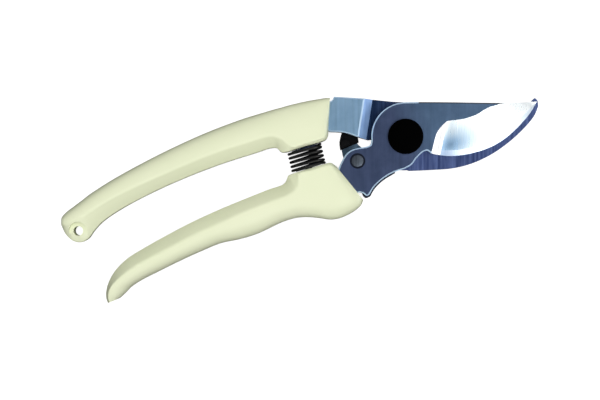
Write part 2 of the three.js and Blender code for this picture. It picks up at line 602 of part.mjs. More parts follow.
function pivotNut() {
  const corner = NUT_ACROSS_FLATS / Math.sqrt(3);
  const crown = turned([
    [0, 0],
    [corner - NUT_CROWN[0], 0],
    [corner, NUT_CROWN[1]],
    [corner, NUT_TOP],
    [0, NUT_TOP],
  ], [0, 0]);
  return plate(hexagon(NUT_ACROSS_FLATS), 0, NUT_TOP)
    .intersect(crown)
    .subtract(disc([0, 0], THREAD_RADIUS + RUNNING_GAP, -1, NUT_TOP + 1, 48));
}

function tabWasher() {
  const low = NUT_TOP + THIN_GAP;
  const high = BACK - THIN_GAP;
  const inside = NUT_ACROSS_FLATS / 2 + TAB_CLEARANCE;
  const tab = block([-TAB_WIDTH / 2, inside, TAB_LOW], [TAB_WIDTH / 2, inside + TAB_THICKNESS, high]);
  return disc([0, 0], TAB_WASHER_RADIUS, low, high, 48)
    .add(tab)
    .subtract(disc([0, 0], THREAD_RADIUS + RUNNING_GAP, 0, BACK + 1, 48));
}

function pivotShim() {
  return disc([0, 0], SHIM_RADIUS, HOOK_FACE - SHIM_SEAT_DEPTH + SHIM_GAP, HOOK_FACE + THIN_GAP, 48)
    .subtract(disc([0, 0], BOLT_RADIUS + RUNNING_GAP, 0, FRONT, 48));
}

// ---- safety catch ----
const CATCH_EYE_RADIUS = 4.6;
const CATCH_WASHER_RADIUS = 4.2;
const CATCH_WASHER_GAP = 0.15; // round the pin, and on both faces
const STAMPING_CHAMFER = 0.2;
const CATCH_BACK_EDGE = [
  [-26.6, -1.6], [-26.8, 1.4], [-26.2, 4.6], [-25.0, 7.8],
  [-22.8, 11.6], [-19.9, 14.9], [-16.6, 16.0], [-13.4, 14.9],
];
const CATCH_BEAK = [[-13.4, 14.9], [-12.8, 13.6], [-13.8, 12.3]];
const CATCH_NOTCH_DISTANCE = 17.1; // from the pin to the underside of the beak
const CATCH_FRONT_EDGE = [
  [-18.3, 12.6], [-18.9, 9.6], [-19.0, 6.4], [-19.4, 4.4], [-17.9, 1.2], [-17.6, -1.6],
];
const CATCH_OUTLINE = [
  ...smooth(CATCH_BACK_EDGE),
  ...smooth(CATCH_BEAK, 1.2),
  ...arc(CATCH_PIN, CATCH_NOTCH_DISTANCE, 61, 75, 1),
  ...smooth(CATCH_FRONT_EDGE),
  ...arc(CATCH_PIN, CATCH_EYE_RADIUS, 14, -194, 2),
];

function catchLever() {
  return plate(CATCH_OUTLINE, CATCH_LOW, CATCH_HIGH, STAMPING_CHAMFER)
    .subtract(disc(CATCH_PIN, CATCH_PIN_RADIUS + RUNNING_GAP, 0, BACK, 32));
}

// The thumb piece: a thin sleeve on the lever's arm with a raised block that stands in the gap.
const PAD_LOW = 0.3;
const PAD_HIGH = 3.75;
const PAD_CHAMFER = 0.25;
const THUMB_TOP = 8.0;
const THUMB_CHAMFER = 0.4;
const PAD_OUTLINE = [
  ...smooth([[-27.0, 4.0], [-26.2, 7.2], [-23.6, 11.2]]),
  ...smooth([[-23.6, 11.2], [-21, 10.6], [-18.3, 9.2]]),
  ...smooth([[-18.3, 9.2], [-18.3, 6.4], [-18.8, 4.0]]),
];
const THUMB_OUTLINE = [
  ...smooth([[-26.6, 4.4], [-26.4, 5.8], [-25.8, 7.2]], 1.5),
  ...smooth([[-25.8, 7.2], [-24.2, 7.5], [-22.8, 6.9]], 1.5),
  ...smooth([[-22.8, 6.9], [-22.4, 5.6], [-22.8, 4.4]], 1.5),
];

function catchPad() {
  const leverPocket = plate(grown(CATCH_OUTLINE, FIT_GAP), CATCH_LOW - FIT_GAP, CATCH_HIGH + FIT_GAP);
  return plate(PAD_OUTLINE, PAD_LOW, PAD_HIGH, PAD_CHAMFER)
    .subtract(leverPocket)
    .add(plate(THUMB_OUTLINE, PAD_HIGH - THUMB_CHAMFER, THUMB_TOP, THUMB_CHAMFER));
}

const PIN_LOW = 0.4;
const PIN_BACK_HEAD = 1.2; // height of the back head's upper face
const PIN_BACK_HEAD_RADIUS = 3.2;

function catchPin() {
  const underHead = FRONT - PIN_COUNTERBORE_DEPTH + RUNNING_GAP;
  return turned([
    [0, PIN_LOW],
    [PIN_BACK_HEAD_RADIUS - 0.6, PIN_LOW],
    [PIN_BACK_HEAD_RADIUS, PIN_LOW + 0.4],
    [PIN_BACK_HEAD_RADIUS, PIN_BACK_HEAD],
    [CATCH_PIN_RADIUS, PIN_BACK_HEAD],
    [CATCH_PIN_RADIUS, underHead],
    [PIN_HEAD_RADIUS, underHead],
    [PIN_HEAD_RADIUS, FRONT - 0.2],
    [PIN_HEAD_RADIUS - 0.3, FRONT],
    [0, FRONT],
  ], CATCH_PIN, 32);
}

function catchWasher() {
  const hole = disc(CATCH_PIN, CATCH_PIN_RADIUS + CATCH_WASHER_GAP, 0, BACK, 32);
  return disc(CATCH_PIN, CATCH_WASHER_RADIUS, CATCH_HIGH + CATCH_WASHER_GAP, BACK - CATCH_WASHER_GAP, 32)
    .subtract(hole);
}

function keeperStud() {
  const end = 0.9;
  return turned([
    [0, end],
    [KEEPER_RADIUS - 0.3, end],
    [KEEPER_RADIUS, end + 0.25],
    [KEEPER_RADIUS, BACK - RUNNING_GAP],
    [KEEPER_SHANK_RADIUS, BACK - RUNNING_GAP],
    [KEEPER_SHANK_RADIUS, KEEPER_SHANK_TOP],
    [0, KEEPER_SHANK_TOP],
  ], KEEPER, 32);
}

// ---- assembly ----
const forgedSteel = () => material(0x4d5b6e, 0.85, 0.35);
const tangSteel = () => material(0x7e9fbb, 0.8, 0.3);
const cream = () => material(0xe4ecc4, 0.0, 0.45);
const blackSteel = () => material(0x0b0c0e, 0.4, 0.4);
const plainSteel = () => material(0x8a929b, 0.9, 0.35);
const blackPlastic = () => material(0x121418, 0.0, 0.5);

addPart('cutting_blade', cuttingBlade(), forgedSteel());
addPart('lower_grip', grip(LOWER_RIBS, BLADE_OUTLINE, LOWER_TANG, LOWER_TANG_KEYS, LOWER_SEAT, 1), cream());
addPart('lower_spring_peg', springPeg(LOWER_SEAT, 1, 0), plainSteel());
addPart('pivot_bolt', pivotBolt(), blackSteel());
addPart('pivot_nut', pivotNut(), plainSteel());
addPart('tab_washer', tabWasher(), plainSteel());
addPart('pivot_shim', pivotShim(), plainSteel());
addPart('catch_pin', catchPin(), plainSteel());
addPart('catch_washer', catchWasher(), plainSteel());
addPart('return_spring', returnSpring(), blackSteel());
addPart('hook_blade', hookBlade(), tangSteel());
addPart(
  'upper_grip',
  grip(UPPER_RIBS, HOOK_OUTLINE, UPPER_TANG, UPPER_TANG_KEYS, UPPER_SEAT, -1).subtract(lanyardCut()),
  cream(),
);
addPart('upper_spring_peg', springPeg(UPPER_SEAT, -1, 0), plainSteel());
addPart('keeper_stud', keeperStud(), plainSteel());
addPart('catch_lever', catchLever(), plainSteel());
addPart('catch_pad', catchPad(), blackPlastic());

export default pruner;
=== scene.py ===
"""Looks of the bypass pruner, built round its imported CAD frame. Lengths are metres, and outlines mm."""
import math

import bmesh
import bpy
import numpy as np
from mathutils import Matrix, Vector


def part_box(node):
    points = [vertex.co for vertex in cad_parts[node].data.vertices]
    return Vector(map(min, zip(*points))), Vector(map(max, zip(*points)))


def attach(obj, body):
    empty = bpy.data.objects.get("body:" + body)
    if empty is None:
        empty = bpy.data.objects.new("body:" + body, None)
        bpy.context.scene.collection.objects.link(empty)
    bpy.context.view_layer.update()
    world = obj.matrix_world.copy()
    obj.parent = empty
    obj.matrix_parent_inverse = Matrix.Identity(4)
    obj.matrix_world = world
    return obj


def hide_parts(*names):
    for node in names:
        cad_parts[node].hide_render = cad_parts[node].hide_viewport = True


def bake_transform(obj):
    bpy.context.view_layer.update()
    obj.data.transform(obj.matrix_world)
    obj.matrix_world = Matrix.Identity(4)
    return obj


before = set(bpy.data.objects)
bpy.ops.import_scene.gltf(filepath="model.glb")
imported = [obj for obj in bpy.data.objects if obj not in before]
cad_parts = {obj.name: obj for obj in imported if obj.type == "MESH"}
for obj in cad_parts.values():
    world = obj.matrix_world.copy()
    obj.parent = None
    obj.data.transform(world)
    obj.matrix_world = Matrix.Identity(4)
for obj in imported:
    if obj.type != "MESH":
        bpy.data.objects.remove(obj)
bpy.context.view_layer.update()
MM = 0.001

# ---- sizes taken from the frame ----
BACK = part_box("hook_blade")[0].z
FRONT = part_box("cutting_blade")[1].z
GRIP_MIDDLE = (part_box("upper_grip")[0].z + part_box("upper_grip")[1].z) / 2
BOLT_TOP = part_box("pivot_bolt")[1].z
BOLT_HEAD_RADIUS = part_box("pivot_bolt")[1].x
NUT_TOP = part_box("pivot_nut")[1].z
CATCH_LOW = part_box("catch_lever")[0].z
CATCH_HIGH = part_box("catch_lever")[1].z
PIN_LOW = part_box("catch_pin")[0].z
CATCH_PIN = (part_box("catch_pin")[0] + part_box("catch_pin")[1]) / 2
PIN_PLACE = (CATCH_PIN.x / MM, CATCH_PIN.y / MM)
KEEPER = (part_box("keeper_stud")[0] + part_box("keeper_stud")[1]) / 2

# ---- sizes of the visible surfaces ----
HOOK_FACE = 7.7 * MM  # front of the hook's blade, where the two blades slide
BLADE_BACK = 7.9 * MM  # back of the cutting blade
FORGING_CHAMFER = 0.5 * MM
RUNNING_GAP = 0.06 * MM  # of a shaft in its hole
THIN_GAP = 0.1 * MM  # between stacked washers, and from the wire to its seats
POCKET_GAP = 0.15 * MM  # between a grip and its forging
HOOK_EYE_RADIUS = 13.9  # in mm, like the outlines
BLADE_EYE_RADIUS = 14.1
EYE_STEP_RADIUS = 14.6 * MM
BOLT_RADIUS = 4.0 * MM
THREAD_RADIUS = 3.5 * MM
NECK_HALF = 3.3 * MM  # half the distance across the flats of the bolt's neck
NUT_ACROSS_FLATS = 11  # in mm
TAB_WASHER_RADIUS = 7.4  # in mm
SHIM_RADIUS = 9.0 * MM
PIN_RADIUS = 1.75 * MM
PIN_HEAD_RADIUS = 2.45 * MM
PIN_RECESS_RADIUS = 3.2 * MM
PIN_RECESS_DEPTH = 1.3 * MM
COIL_RADIUS = 6.85 * MM
WIRE_RADIUS = 0.56 * MM
COIL_TURNS = 5
END_TURNS = 0.6  # turns at each end that lie nearly flat
END_PITCH = 0.9 * MM
UPPER_SEAT = Vector((-40.9, 10.3, 0)) * MM
LOWER_SEAT = Vector((-42.0, 1.15, 0)) * MM
SEAT_TILT = 0.06  # slope of both seats, in radians
LANYARD_HOLE = Vector((-140.4, 9.6))
HOLE_RADIUS = 1.95 * MM
LUG_RADIUS = 3.7 * MM
LUG_HALF = 3.6 * MM  # half the thickness left round the lanyard hole
RAMP_RUN = 3.3 * MM  # width of the slope from the hook's tang down to its blade
RAMP_FOOT = ((-7.6, 18.8), (-15.2, 5.0))  # top and bottom of the slope's foot, in mm
ALONG_FOOT = (Vector(RAMP_FOOT[0]) - Vector(RAMP_FOOT[1])).normalized()
FROM_FOOT = Vector((ALONG_FOOT.y, -ALONG_FOOT.x))
RIDGE_WIDTH = 0.7 * MM  # the ridge along the top of the slope, painted bright as a highlight
FINE = 0.5  # spacing of points along an outline, in mm
BEYOND = 1.0 * MM  # how far a cutter runs past what it cuts


# ---- outlines ----
def spline(points, share):
    """Places on a centripetal Catmull-Rom curve through points, at shares counted in whole points."""
    points = np.array(points, float)
    first = 2 * points[0] - points[1]
    last = 2 * points[-1] - points[-2]
    padded = np.vstack([first, points, last])
    places = []
    for at in share:
        i = min(int(at), len(points) - 2)
        t = at - i
        p0, p1, p2, p3 = padded[i:i + 4]
        d0, d1, d2 = (max(np.sum((b - a) ** 2) ** 0.25, 1e-4) for a, b in ((p0, p1), (p1, p2), (p2, p3)))
        m1 = ((p1 - p0) / d0 - (p2 - p0) / (d0 + d1) + (p2 - p1) / d1) * d1
        m2 = ((p2 - p1) / d1 - (p3 - p1) / (d1 + d2) + (p3 - p2) / d2) * d1
        c2 = -3 * p1 + 3 * p2 - 2 * m1 - m2
        c3 = 2 * p1 - 2 * p2 + m1 + m2
        places.append(p1 + m1 * t + c2 * t * t + c3 * t ** 3)
    return np.array(places)


def smooth(points, step=FINE):
    """Points along one smooth curve, about step apart. The last one is left to the next run."""
    shares = []
    for i, (a, b) in enumerate(zip(points, points[1:])):
        count = max(2, round(math.dist(a, b) / step))
        shares += [i + k / count for k in range(count)]
    return [tuple(p) for p in spline(points, shares)]


def arc(centre, radius, start, end, step=FINE):
    """Points along an arc, angles in degrees. The last one is left to the next run."""
    count = max(2, round(abs(math.radians(end - start)) * radius / step))
    angles = [math.radians(start + (end - start) * k / count) for k in range(count)]
    return [(centre[0] + radius * math.cos(a), centre[1] + radius * math.sin(a)) for a in angles]


def circle(centre, radius, count):
    return arc(centre, radius, 0, 360, 2 * math.pi * radius / count)


def area(points):
    return sum(a[0] * b[1] - b[0] * a[1] for a, b in zip(points, points[1:] + points[:1])) / 2


def grown(points, distance):
    """The outline moved outwards by distance, in the outline's own unit."""
    turn = 1 if area(points) > 0 else -1
    moved = []
    for i, point in enumerate(points):
        before, after = Vector(points[i - 1]), Vector(points[(i + 1) % len(points)])
        into, out = Vector(point) - before, after - Vector(point)
        along = (into.normalized() + out.normalized()).normalized()
        moved.append((point[0] + along.y * turn * distance, point[1] - along.x * turn * distance))
    return moved


# ---- meshes ----
def add_object(name, verts, faces, materials=()):
    mesh = bpy.data.meshes.new(name)
    mesh.from_pydata([tuple(v) for v in verts], [], faces)
    mesh.update()
    made = bmesh.new()
    made.from_mesh(mesh)
    bmesh.ops.recalc_face_normals(made, faces=made.faces)
    made.to_mesh(mesh)
    made.free()
    for m in materials:
        mesh.materials.append(m)
    obj = bpy.data.objects.new(name, mesh)
    bpy.context.scene.collection.objects.link(obj)
    return obj


def skin(rings):
    """Vertices and faces of a skin over rings of equal length, with flat ends."""
    count = len(rings[0])
    verts = [p for ring in rings for p in ring]
    faces = []
    for i in range(len(rings) - 1):
        for j in range(count):
            a, b = i * count + j, i * count + (j + 1) % count
            faces.append((a, b, b + count, a + count))
    faces.append(tuple(reversed(range(count))))
    faces.append(tuple(range((len(rings) - 1) * count, len(rings) * count)))
    return verts, faces


def plate(name, outline, low, high, materials=(), chamfer=0.0, steps=1):
    """A flat plate of an outline in mm. Its two rims are chamfered, or rounded where steps is over 1."""
    rims = []
    for k in range(steps + 1):
        turn = k / steps * math.pi / 2
        inset = chamfer * (1 - math.sin(turn)) if chamfer else 0
        rise = chamfer * (1 - math.cos(turn)) if chamfer else 0
        rims.append((inset, rise))
    if not chamfer:
        rims = rims[:1]
    levels = [(inset, low + rise) for inset, rise in rims]
    levels += [(inset, high - rise) for inset, rise in reversed(rims)]
    rings = []
    for inset, z in levels:
        ring = grown(outline, -inset / MM) if inset else outline
        rings.append([(x * MM, y * MM, z) for x, y in ring])
    verts, faces = skin(rings)
    return add_object(name, verts, faces, materials)


def disc(name, centre, radius, low, high, materials=(), count=96):
    return plate(name, circle(centre, radius / MM, count), low, high, materials)


def turned(name, profile, centre, materials=(), count=96):
    """A round piece turned about an upright axis, from (radius, height) points that start and end on it."""
    start, end = profile[0], profile[-1]
    verts = [(centre[0], centre[1], start[1]), (centre[0], centre[1], end[1])]
    faces = []
    for radius, z in profile[1:-1]:
        for k in range(count):
            a = 2 * math.pi * k / count
            verts.append((centre[0] + radius * math.cos(a), centre[1] + radius * math.sin(a), z))
    rings = len(profile) - 2
    for k in range(count):
        after = (k + 1) % count
        faces.append((0, 2 + after, 2 + k))
        faces.append((1, 2 + (rings - 1) * count + k, 2 + (rings - 1) * count + after))
        for i in range(rings - 1):
            a, b = 2 + i * count + k, 2 + i * count + after
            faces.append((a, b, b + count, a + count))
    return add_object(name, verts, faces, materials)


def block(name, low, high, materials=()):
    ring = [(low[0], low[1]), (high[0], low[1]), (high[0], high[1]), (low[0], high[1])]
    verts, faces = skin([[(x, y, z) for x, y in ring] for z in (low[2], high[2])])
    return add_object(name, verts, faces, materials)


def apply_modifiers(obj):
    graph = bpy.context.evaluated_depsgraph_get()
    mesh = bpy.data.meshes.new_from_object(obj.evaluated_get(graph), depsgraph=graph)
    old = obj.data
    obj.modifiers.clear()
    obj.data = mesh
    bpy.data.meshes.remove(old)


def combine(target, tool, operation):
    """Cuts, joins or intersects target with tool, which is used up. Its faces keep their own materials."""
    modifier = target.modifiers.new("combine", "BOOLEAN")
    modifier.operation = operation
    modifier.solver = "EXACT"
    modifier.material_mode = "TRANSFER"
    modifier.object = tool
    apply_modifiers(target)
    bpy.data.objects.remove(tool)
    return target


def cut(target, *tools):
    for tool in tools:
        combine(target, tool, "DIFFERENCE")
    return target


def join(target, *tools):
    for tool in tools:
        combine(target, tool, "UNION")
    return target


def crease(obj, degrees=28):
    """Smooth shading that breaks at edges sharper than this, and wherever the finish changes."""
    obj.data.shade_smooth()
    obj.data.set_sharp_from_angle(angle=math.radians(degrees))
    made = bmesh.new()
    made.from_mesh(obj.data)
    for edge in made.edges:
        if len({face.material_index for face in edge.link_faces}) > 1:
            edge.smooth = False
    made.to_mesh(obj.data)
    made.free()
    return obj


def stands_for(obj, node, body):
    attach(obj, body)
    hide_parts(node)
    return obj


# ---- materials ----
ACROSS_TOOL = math.radians(-20)  # direction of the grinding lines, from +Y
GRAIN_DEPTH = 2 * MM  # how far a grain runs into the steel


class Nodes:
    """A short way to write a node material: every call adds one node and returns its output."""

    def __init__(self, name):
        self.material = bpy.data.materials.new(name)
        self.material.use_nodes = True
        self.tree = self.material.node_tree
        self.shader = self.tree.nodes["Principled BSDF"]
        self.place = self.add("ShaderNodeTexCoord").outputs["Object"]

    def add(self, kind, **settings):
        node = self.tree.nodes.new(kind)
        for key, value in settings.items():
            setattr(node, key, value)
        return node

    def link(self, output, node, socket):
        self.tree.links.new(output, node.inputs[socket])

    def stretched(self, lengths, turn=0.0):
        """Places for a grain of this size in metres, turned from the part's own axes."""
        node = self.add("ShaderNodeMapping", vector_type="TEXTURE")
        node.inputs["Scale"].default_value = lengths
        node.inputs["Rotation"].default_value = (0, 0, turn)
        self.link(self.place, node, "Vector")
        return node.outputs["Vector"]

    def noise(self, scale, detail=3.0, roughness=0.55, vector=None):
        node = self.add("ShaderNodeTexNoise")
        node.inputs["Scale"].default_value = scale
        node.inputs["Detail"].default_value = detail
        node.inputs["Roughness"].default_value = roughness
        self.link(vector or self.place, node, "Vector")
        return node.outputs["Fac"]

    def ramp(self, value, stops):
        node = self.add("ShaderNodeValToRGB")
        ramp = node.color_ramp
        while len(ramp.elements) < len(stops):
            ramp.elements.new(0.5)
        for element, (at, colour) in zip(ramp.elements, stops):
            element.position = at
            element.color = (*colour, 1) if hasattr(colour, "__len__") else (colour, colour, colour, 1)
        self.link(value, node, "Fac")
        return node.outputs["Color"]

    def span(self, value, low, high, to_low, to_high):
        node = self.add("ShaderNodeMapRange")
        ends = {"From Min": low, "From Max": high, "To Min": to_low, "To Max": to_high}
        for socket, number in ends.items():
            node.inputs[socket].default_value = number
        self.link(value, node, "Value")
        return node.outputs["Result"]

    def mix(self, share, a, b, blend="MIX"):
        node = self.add("ShaderNodeMix", data_type="RGBA", blend_type=blend)
        sockets = {s.identifier: s for s in node.inputs}
        for identifier, value in (("Factor_Float", share), ("A_Color", a), ("B_Color", b)):
            socket = sockets[identifier]
            if isinstance(value, bpy.types.NodeSocket):
                self.tree.links.new(value, socket)
            elif hasattr(value, "__len__"):
                socket.default_value = (*value, 1)
            else:
                socket.default_value = value
        return node.outputs[2]

    def along(self, direction, start):
        """The distance from start along a direction, in metres."""
        node = self.add("ShaderNodeVectorMath", operation="DOT_PRODUCT")
        node.inputs[1].default_value = (*direction, 0)
        self.link(self.place, node, 0)
        offset = self.add("ShaderNodeMath", operation="SUBTRACT")
        offset.inputs[1].default_value = direction[0] * start[0] + direction[1] * start[1]
        self.link(node.outputs["Value"], offset, 0)
        return offset.outputs[0]

    def spread(self, centre, radii):
        """The distance from centre, seen from the front and measured in these radii."""
        node = self.add("ShaderNodeMapping", vector_type="TEXTURE")
        node.inputs["Location"].default_value = (*centre, 0)
        node.inputs["Scale"].default_value = (*radii, 100)
        self.link(self.place, node, "Vector")
        length = self.add("ShaderNodeVectorMath", operation="LENGTH")
        self.link(node.outputs["Vector"], length, 0)
        return length.outputs["Value"]

    def shaded(self, colour, shade):
        """Painted shade: the colour darkened by a tint up to a line, and less beyond it.

        shade is (direction, start, length, tint), or None to leave the colour as it is.
        """
        if not shade:
            return colour
        direction, start, length, tint = shade
        dark = self.mix(1.0, colour, tint, "MULTIPLY")
        return self.mix(self.span(self.along(direction, start), 0.0, length, 0.0, 1.0), dark, colour)

    def bump(self, height, strength, distance):
        node = self.add("ShaderNodeBump")
        node.inputs["Strength"].default_value = strength
        node.inputs["Distance"].default_value = distance
        self.link(height, node, "Height")
        self.link(node.outputs["Normal"], self.shader, "Normal")

    def grinding(self, grain, length):
        """Shallow grinding marks, grain mm wide and this many times as long."""
        places = self.stretched((grain * MM, length * grain * MM, GRAIN_DEPTH), ACROSS_TOOL)
        self.bump(self.noise(1.0, 1, 0.4, places), 0.05, 0.03 * MM)

    def finish(self, colour, roughness, metallic, **fixed):
        self.link(colour, self.shader, "Base Color")
        self.link(roughness, self.shader, "Roughness")
        self.shader.inputs["Metallic"].default_value = metallic
        for name, value in fixed.items():
            self.shader.inputs[name.replace("_", " ")].default_value = value
        return self.material


def cream_moulding():
    n = Nodes("cream_moulding")
    cloud = n.noise(38, 2)
    fine = n.noise(2600, 2)
    peel = n.noise(900, 1)
    base = n.ramp(cloud, [(0.3, (0.760, 0.805, 0.560)), (0.7, (0.795, 0.830, 0.595))])
    colour = n.mix(0.03, base, fine, "OVERLAY")
    n.bump(peel, 0.08, 0.1 * MM)
    rough = n.span(cloud, 0.3, 0.7, 0.36, 0.44)
    return n.finish(colour, rough, 0.0, Coat_Weight=0.1, Coat_Roughness=0.25, Specular_IOR_Level=0.3)


def brushed_steel(name, dark, light, roughness, grain=0.45, streak=0.5, metallic=1.0, shade=None):
    """Steel with fine parallel grinding lines, grain mm wide. streak is their contrast."""
    n = Nodes(name)
    streaks = n.noise(1.0, 3, 0.55, n.stretched((grain * MM, 30 * grain * MM, GRAIN_DEPTH), ACROSS_TOOL))
    patches = n.noise(160, 3)
    share = n.mix(streak, patches, streaks)
    base = n.mix(n.span(share, 0.35, 0.65, 0.0, 1.0), dark, light)
    colour = n.mix(0.12, base, n.ramp(patches, [(0.3, 0.35), (0.7, 0.65)]), "OVERLAY")
    colour = n.shaded(colour, shade)
    n.grinding(grain, 8)
    rough = n.span(streaks, 0.3, 0.7, roughness - 0.04, roughness + 0.06)
    return n.finish(colour, rough, metallic)


def forged_skin(name, dark, light, roughness, metallic=0.9):
    """The sides of a forging: a fine grained, slightly uneven surface."""
    n = Nodes(name)
    grain = n.noise(1500, 4)
    patches = n.noise(110, 3)
    colour = n.mix(patches, dark, light)
    n.bump(grain, 0.12, 0.05 * MM)
    return n.finish(colour, n.span(grain, 0.3, 0.7, roughness - 0.05, roughness + 0.08), metallic)


def bevel_steel():
    """The ground bevel, with a painted reflection and a painted highlight: a blue-grey patch beside the
    fillet fades to bright steel, brightened further to the tip.
    """
    n = Nodes("bevel_steel")
    streaks = n.noise(1.0, 2, 0.5, n.stretched((0.5 * MM, 14 * MM, GRAIN_DEPTH), ACROSS_TOOL))
    # painted reflection: the bevel is darker blue-grey in an oval patch beside the fillet
    bright = n.span(n.spread(REFLECTION_PATCH_CENTRE, REFLECTION_PATCH_RADII), 0.0, 1.0, 0.0, 1.0)
    uneven = n.mix(0.45, bright, n.ramp(streaks, [(0.3, 0.2), (0.7, 0.8)]), "OVERLAY")
    # painted highlight: the bevel brightens towards its tip
    tip = n.span(n.along((1, 0), TIP_HIGHLIGHT_START), 0.0, TIP_HIGHLIGHT_RUN, 0.0, 1.0)
    colour = n.mix(tip, n.ramp(uneven, BEVEL_TONES), TIP_HIGHLIGHT_TONE)
    n.grinding(0.35, 8)
    return n.finish(colour, n.span(streaks, 0.3, 0.7, 0.26, 0.36), 1.0)


def polished_steel(name, dark, light, roughness, metallic=1.0, shade=None):
    n = Nodes(name)
    lines = n.noise(1.0, 3, 0.5, n.stretched((0.3 * MM, 6 * MM, GRAIN_DEPTH), ACROSS_TOOL))
    colour = n.shaded(n.mix(n.span(lines, 0.35, 0.65, 0.0, 1.0), dark, light), shade)
    n.grinding(0.3, 8)
    return n.finish(colour, n.span(lines, 0.3, 0.7, roughness, roughness + 0.06), metallic)


def black_finish(name, roughness, metallic, tone=0.006, sheen=0.3):
    n = Nodes(name)
    grain = n.noise(1800, 3)
    darkest = (tone, tone * 1.05, tone * 1.2)
    lightest = (tone * 1.8, tone * 1.9, tone * 2.1)
    colour = n.ramp(grain, [(0.3, darkest), (0.7, lightest)])
    n.bump(grain, 0.06, 0.05 * MM)
    rough = n.span(grain, 0.3, 0.7, roughness - 0.04, roughness + 0.06)
    return n.finish(colour, rough, metallic, Specular_IOR_Level=sheen)


BEVEL_TONES = [  # from the darkest of the painted reflection patch to bare steel
    (0.0, (0.120, 0.195, 0.285)),
    (0.16, (0.18, 0.275, 0.385)),
    (0.50, (0.41, 0.485, 0.535)),
    (1.0, (0.72, 0.78, 0.80)),
]
# painted reflection: where the bevel's blue-grey patch lies, and how far it spreads
REFLECTION_PATCH_CENTRE = (16.5 * MM, -9.5 * MM)
REFLECTION_PATCH_RADII = (20 * MM, 11 * MM)
# the painted highlight's colour at the tip
TIP_HIGHLIGHT_TONE = (0.93, 0.98, 1.0)
TIP_HIGHLIGHT_START = (38 * MM, 0)  # from here a painted highlight brightens the bevel to its tip
TIP_HIGHLIGHT_RUN = 12 * MM
CREAM = cream_moulding()
# Painted shade: the face is darkened over the neck towards the grips, fading out between 2 mm behind the
# pivot and 12 mm in front of it.
BLADE_FACE = brushed_steel(
    "blade_face", (0.150, 0.255, 0.430), (0.185, 0.300, 0.500), 0.32, 0.5, 0.35,
    shade=((1, 0), (-0.002, 0), 0.014, (0.64, 0.54, 0.62)),
)
# Painted highlight: bright blue-white steel for the forgings' chamfers and the ridge of the hook's slope,
# where they catch the light.
EDGE_HIGHLIGHT_STEEL = polished_steel("edge_highlight", (0.50, 0.70, 0.92), (0.58, 0.78, 1.0), 0.30, 0.3)
BEVEL = bevel_steel()
# Painted highlight: the bevel's fillet is near-white steel, brighter than bare steel can be; the fillet
# light also lights it.
FILLET_HIGHLIGHT = polished_steel("bevel_fillet_highlight", (0.96, 0.97, 0.98), (0.99, 0.99, 1.0), 0.45)
# Painted shade: the micro-bevel is darkened towards the heel, fading out between 13 mm and 28 mm in front
# of the pivot.
MICRO_BEVEL = polished_steel(
    "micro_bevel", (0.66, 0.77, 0.88), (0.80, 0.90, 0.98), 0.28,
    shade=((1, 0), (13 * MM, 0), 15 * MM, (0.33, 0.37, 0.45)),
)
TANG_FACE = brushed_steel("tang_face", (0.32, 0.54, 0.76), (0.40, 0.64, 0.90), 0.42, 1.4, 0.6)
# Painted shade: the hook's face is darkest at the foot of the slope, in the recess, and fades to its own
# colour 20 mm away from it.
HOOK_FACE_STEEL = brushed_steel(
    "hook_face", (0.062, 0.098, 0.270), (0.158, 0.222, 0.490), 0.36, 0.9, 0.8,
    shade=(FROM_FOOT, Vector(RAMP_FOOT[1]) * MM, 0.020, (0.20, 0.32, 0.34)),
)
RAMP_STEEL = brushed_steel(
    "ramp_steel", (0.25, 0.42, 0.74), (0.32, 0.51, 0.85), 0.40, 1.4, 0.6, metallic=0.3,
)
FORGED = forged_skin("forged_side", (0.10, 0.13, 0.17), (0.17, 0.21, 0.26), 0.42)
SHADED_STEEL = forged_skin("shaded_steel", (0.010, 0.016, 0.035), (0.018, 0.026, 0.050), 0.55, 0.5)
RIVET = brushed_steel("rivet_steel", (0.09, 0.11, 0.14), (0.16, 0.19, 0.23), 0.36)
ZINC = forged_skin("zinc_plate", (0.42, 0.46, 0.50), (0.56, 0.60, 0.63), 0.33)
CATCH_STEEL = brushed_steel("catch_steel", (0.11, 0.19, 0.27), (0.16, 0.25, 0.36), 0.36)
BLACK_STEEL = black_finish("black_oxide", 0.75, 0.0, 0.0003, 0.01)
SPRING_STEEL = black_finish("spring_black", 0.35, 0.0, 0.002, 0.4)
BLACK_PLASTIC = black_finish("black_moulding", 0.55, 0.0, 0.003, 0.08)

# ---- outlines of the two forgings, in mm ----
SPINE = [(10, 11.5), (20, 7.8), (30, 4.0), (40, 0.2), (47, -2.3), (52, -3.7), (56.3, -5.0)]
CUTTING_EDGE = [
    (56.3, -5.0), (53.3, -7.6), (50, -9.8), (45, -12.4), (40, -14.4),
    (35, -15.7), (30, -16.2), (25, -16.0), (20, -15.3), (14, -13.6), (7.5, -10.2),
]
BLADE_NECK_TOP = [(-30.6, -3.2), (-28.7, -1.1), (-25.2, 1.7), (-22.3, 2.4), (-16.5, 1.5)]
BLADE_SHOULDER = [(-16.5, 1.5), (-14.7, 1.75), (-13.7, 3.4)]
BLADE_HEEL = [(7.5, -10.2), (6.5, -8.6), (4.6, -8.5), (1.2, -10), (-1.6, -11.8), (-4.8, -12.4)]
BLADE_NECK_BOTTOM = [(-4.8, -12.4), (-10, -12.3), (-15, -13.3), (-19.5, -15.3), (-22.3, -17.5)]
BLADE_NOTCH = [(-22.3, -17.5), (-23.5, -17.6), (-24.5, -16.1), (-26.2, -14.9)]
BLADE_OUTLINE = (
    smooth(BLADE_NECK_TOP)
    + smooth(BLADE_SHOULDER)
    + arc((0, 0), BLADE_EYE_RADIUS, 166, 72)
    + smooth([(4.2, 13.5)] + SPINE)
    + smooth(CUTTING_EDGE)
    + smooth(BLADE_HEEL)
    + smooth(BLADE_NECK_BOTTOM)
    + smooth(BLADE_NOTCH)
    + [(-26.9, -15), (-31.6, -4.2)]
)
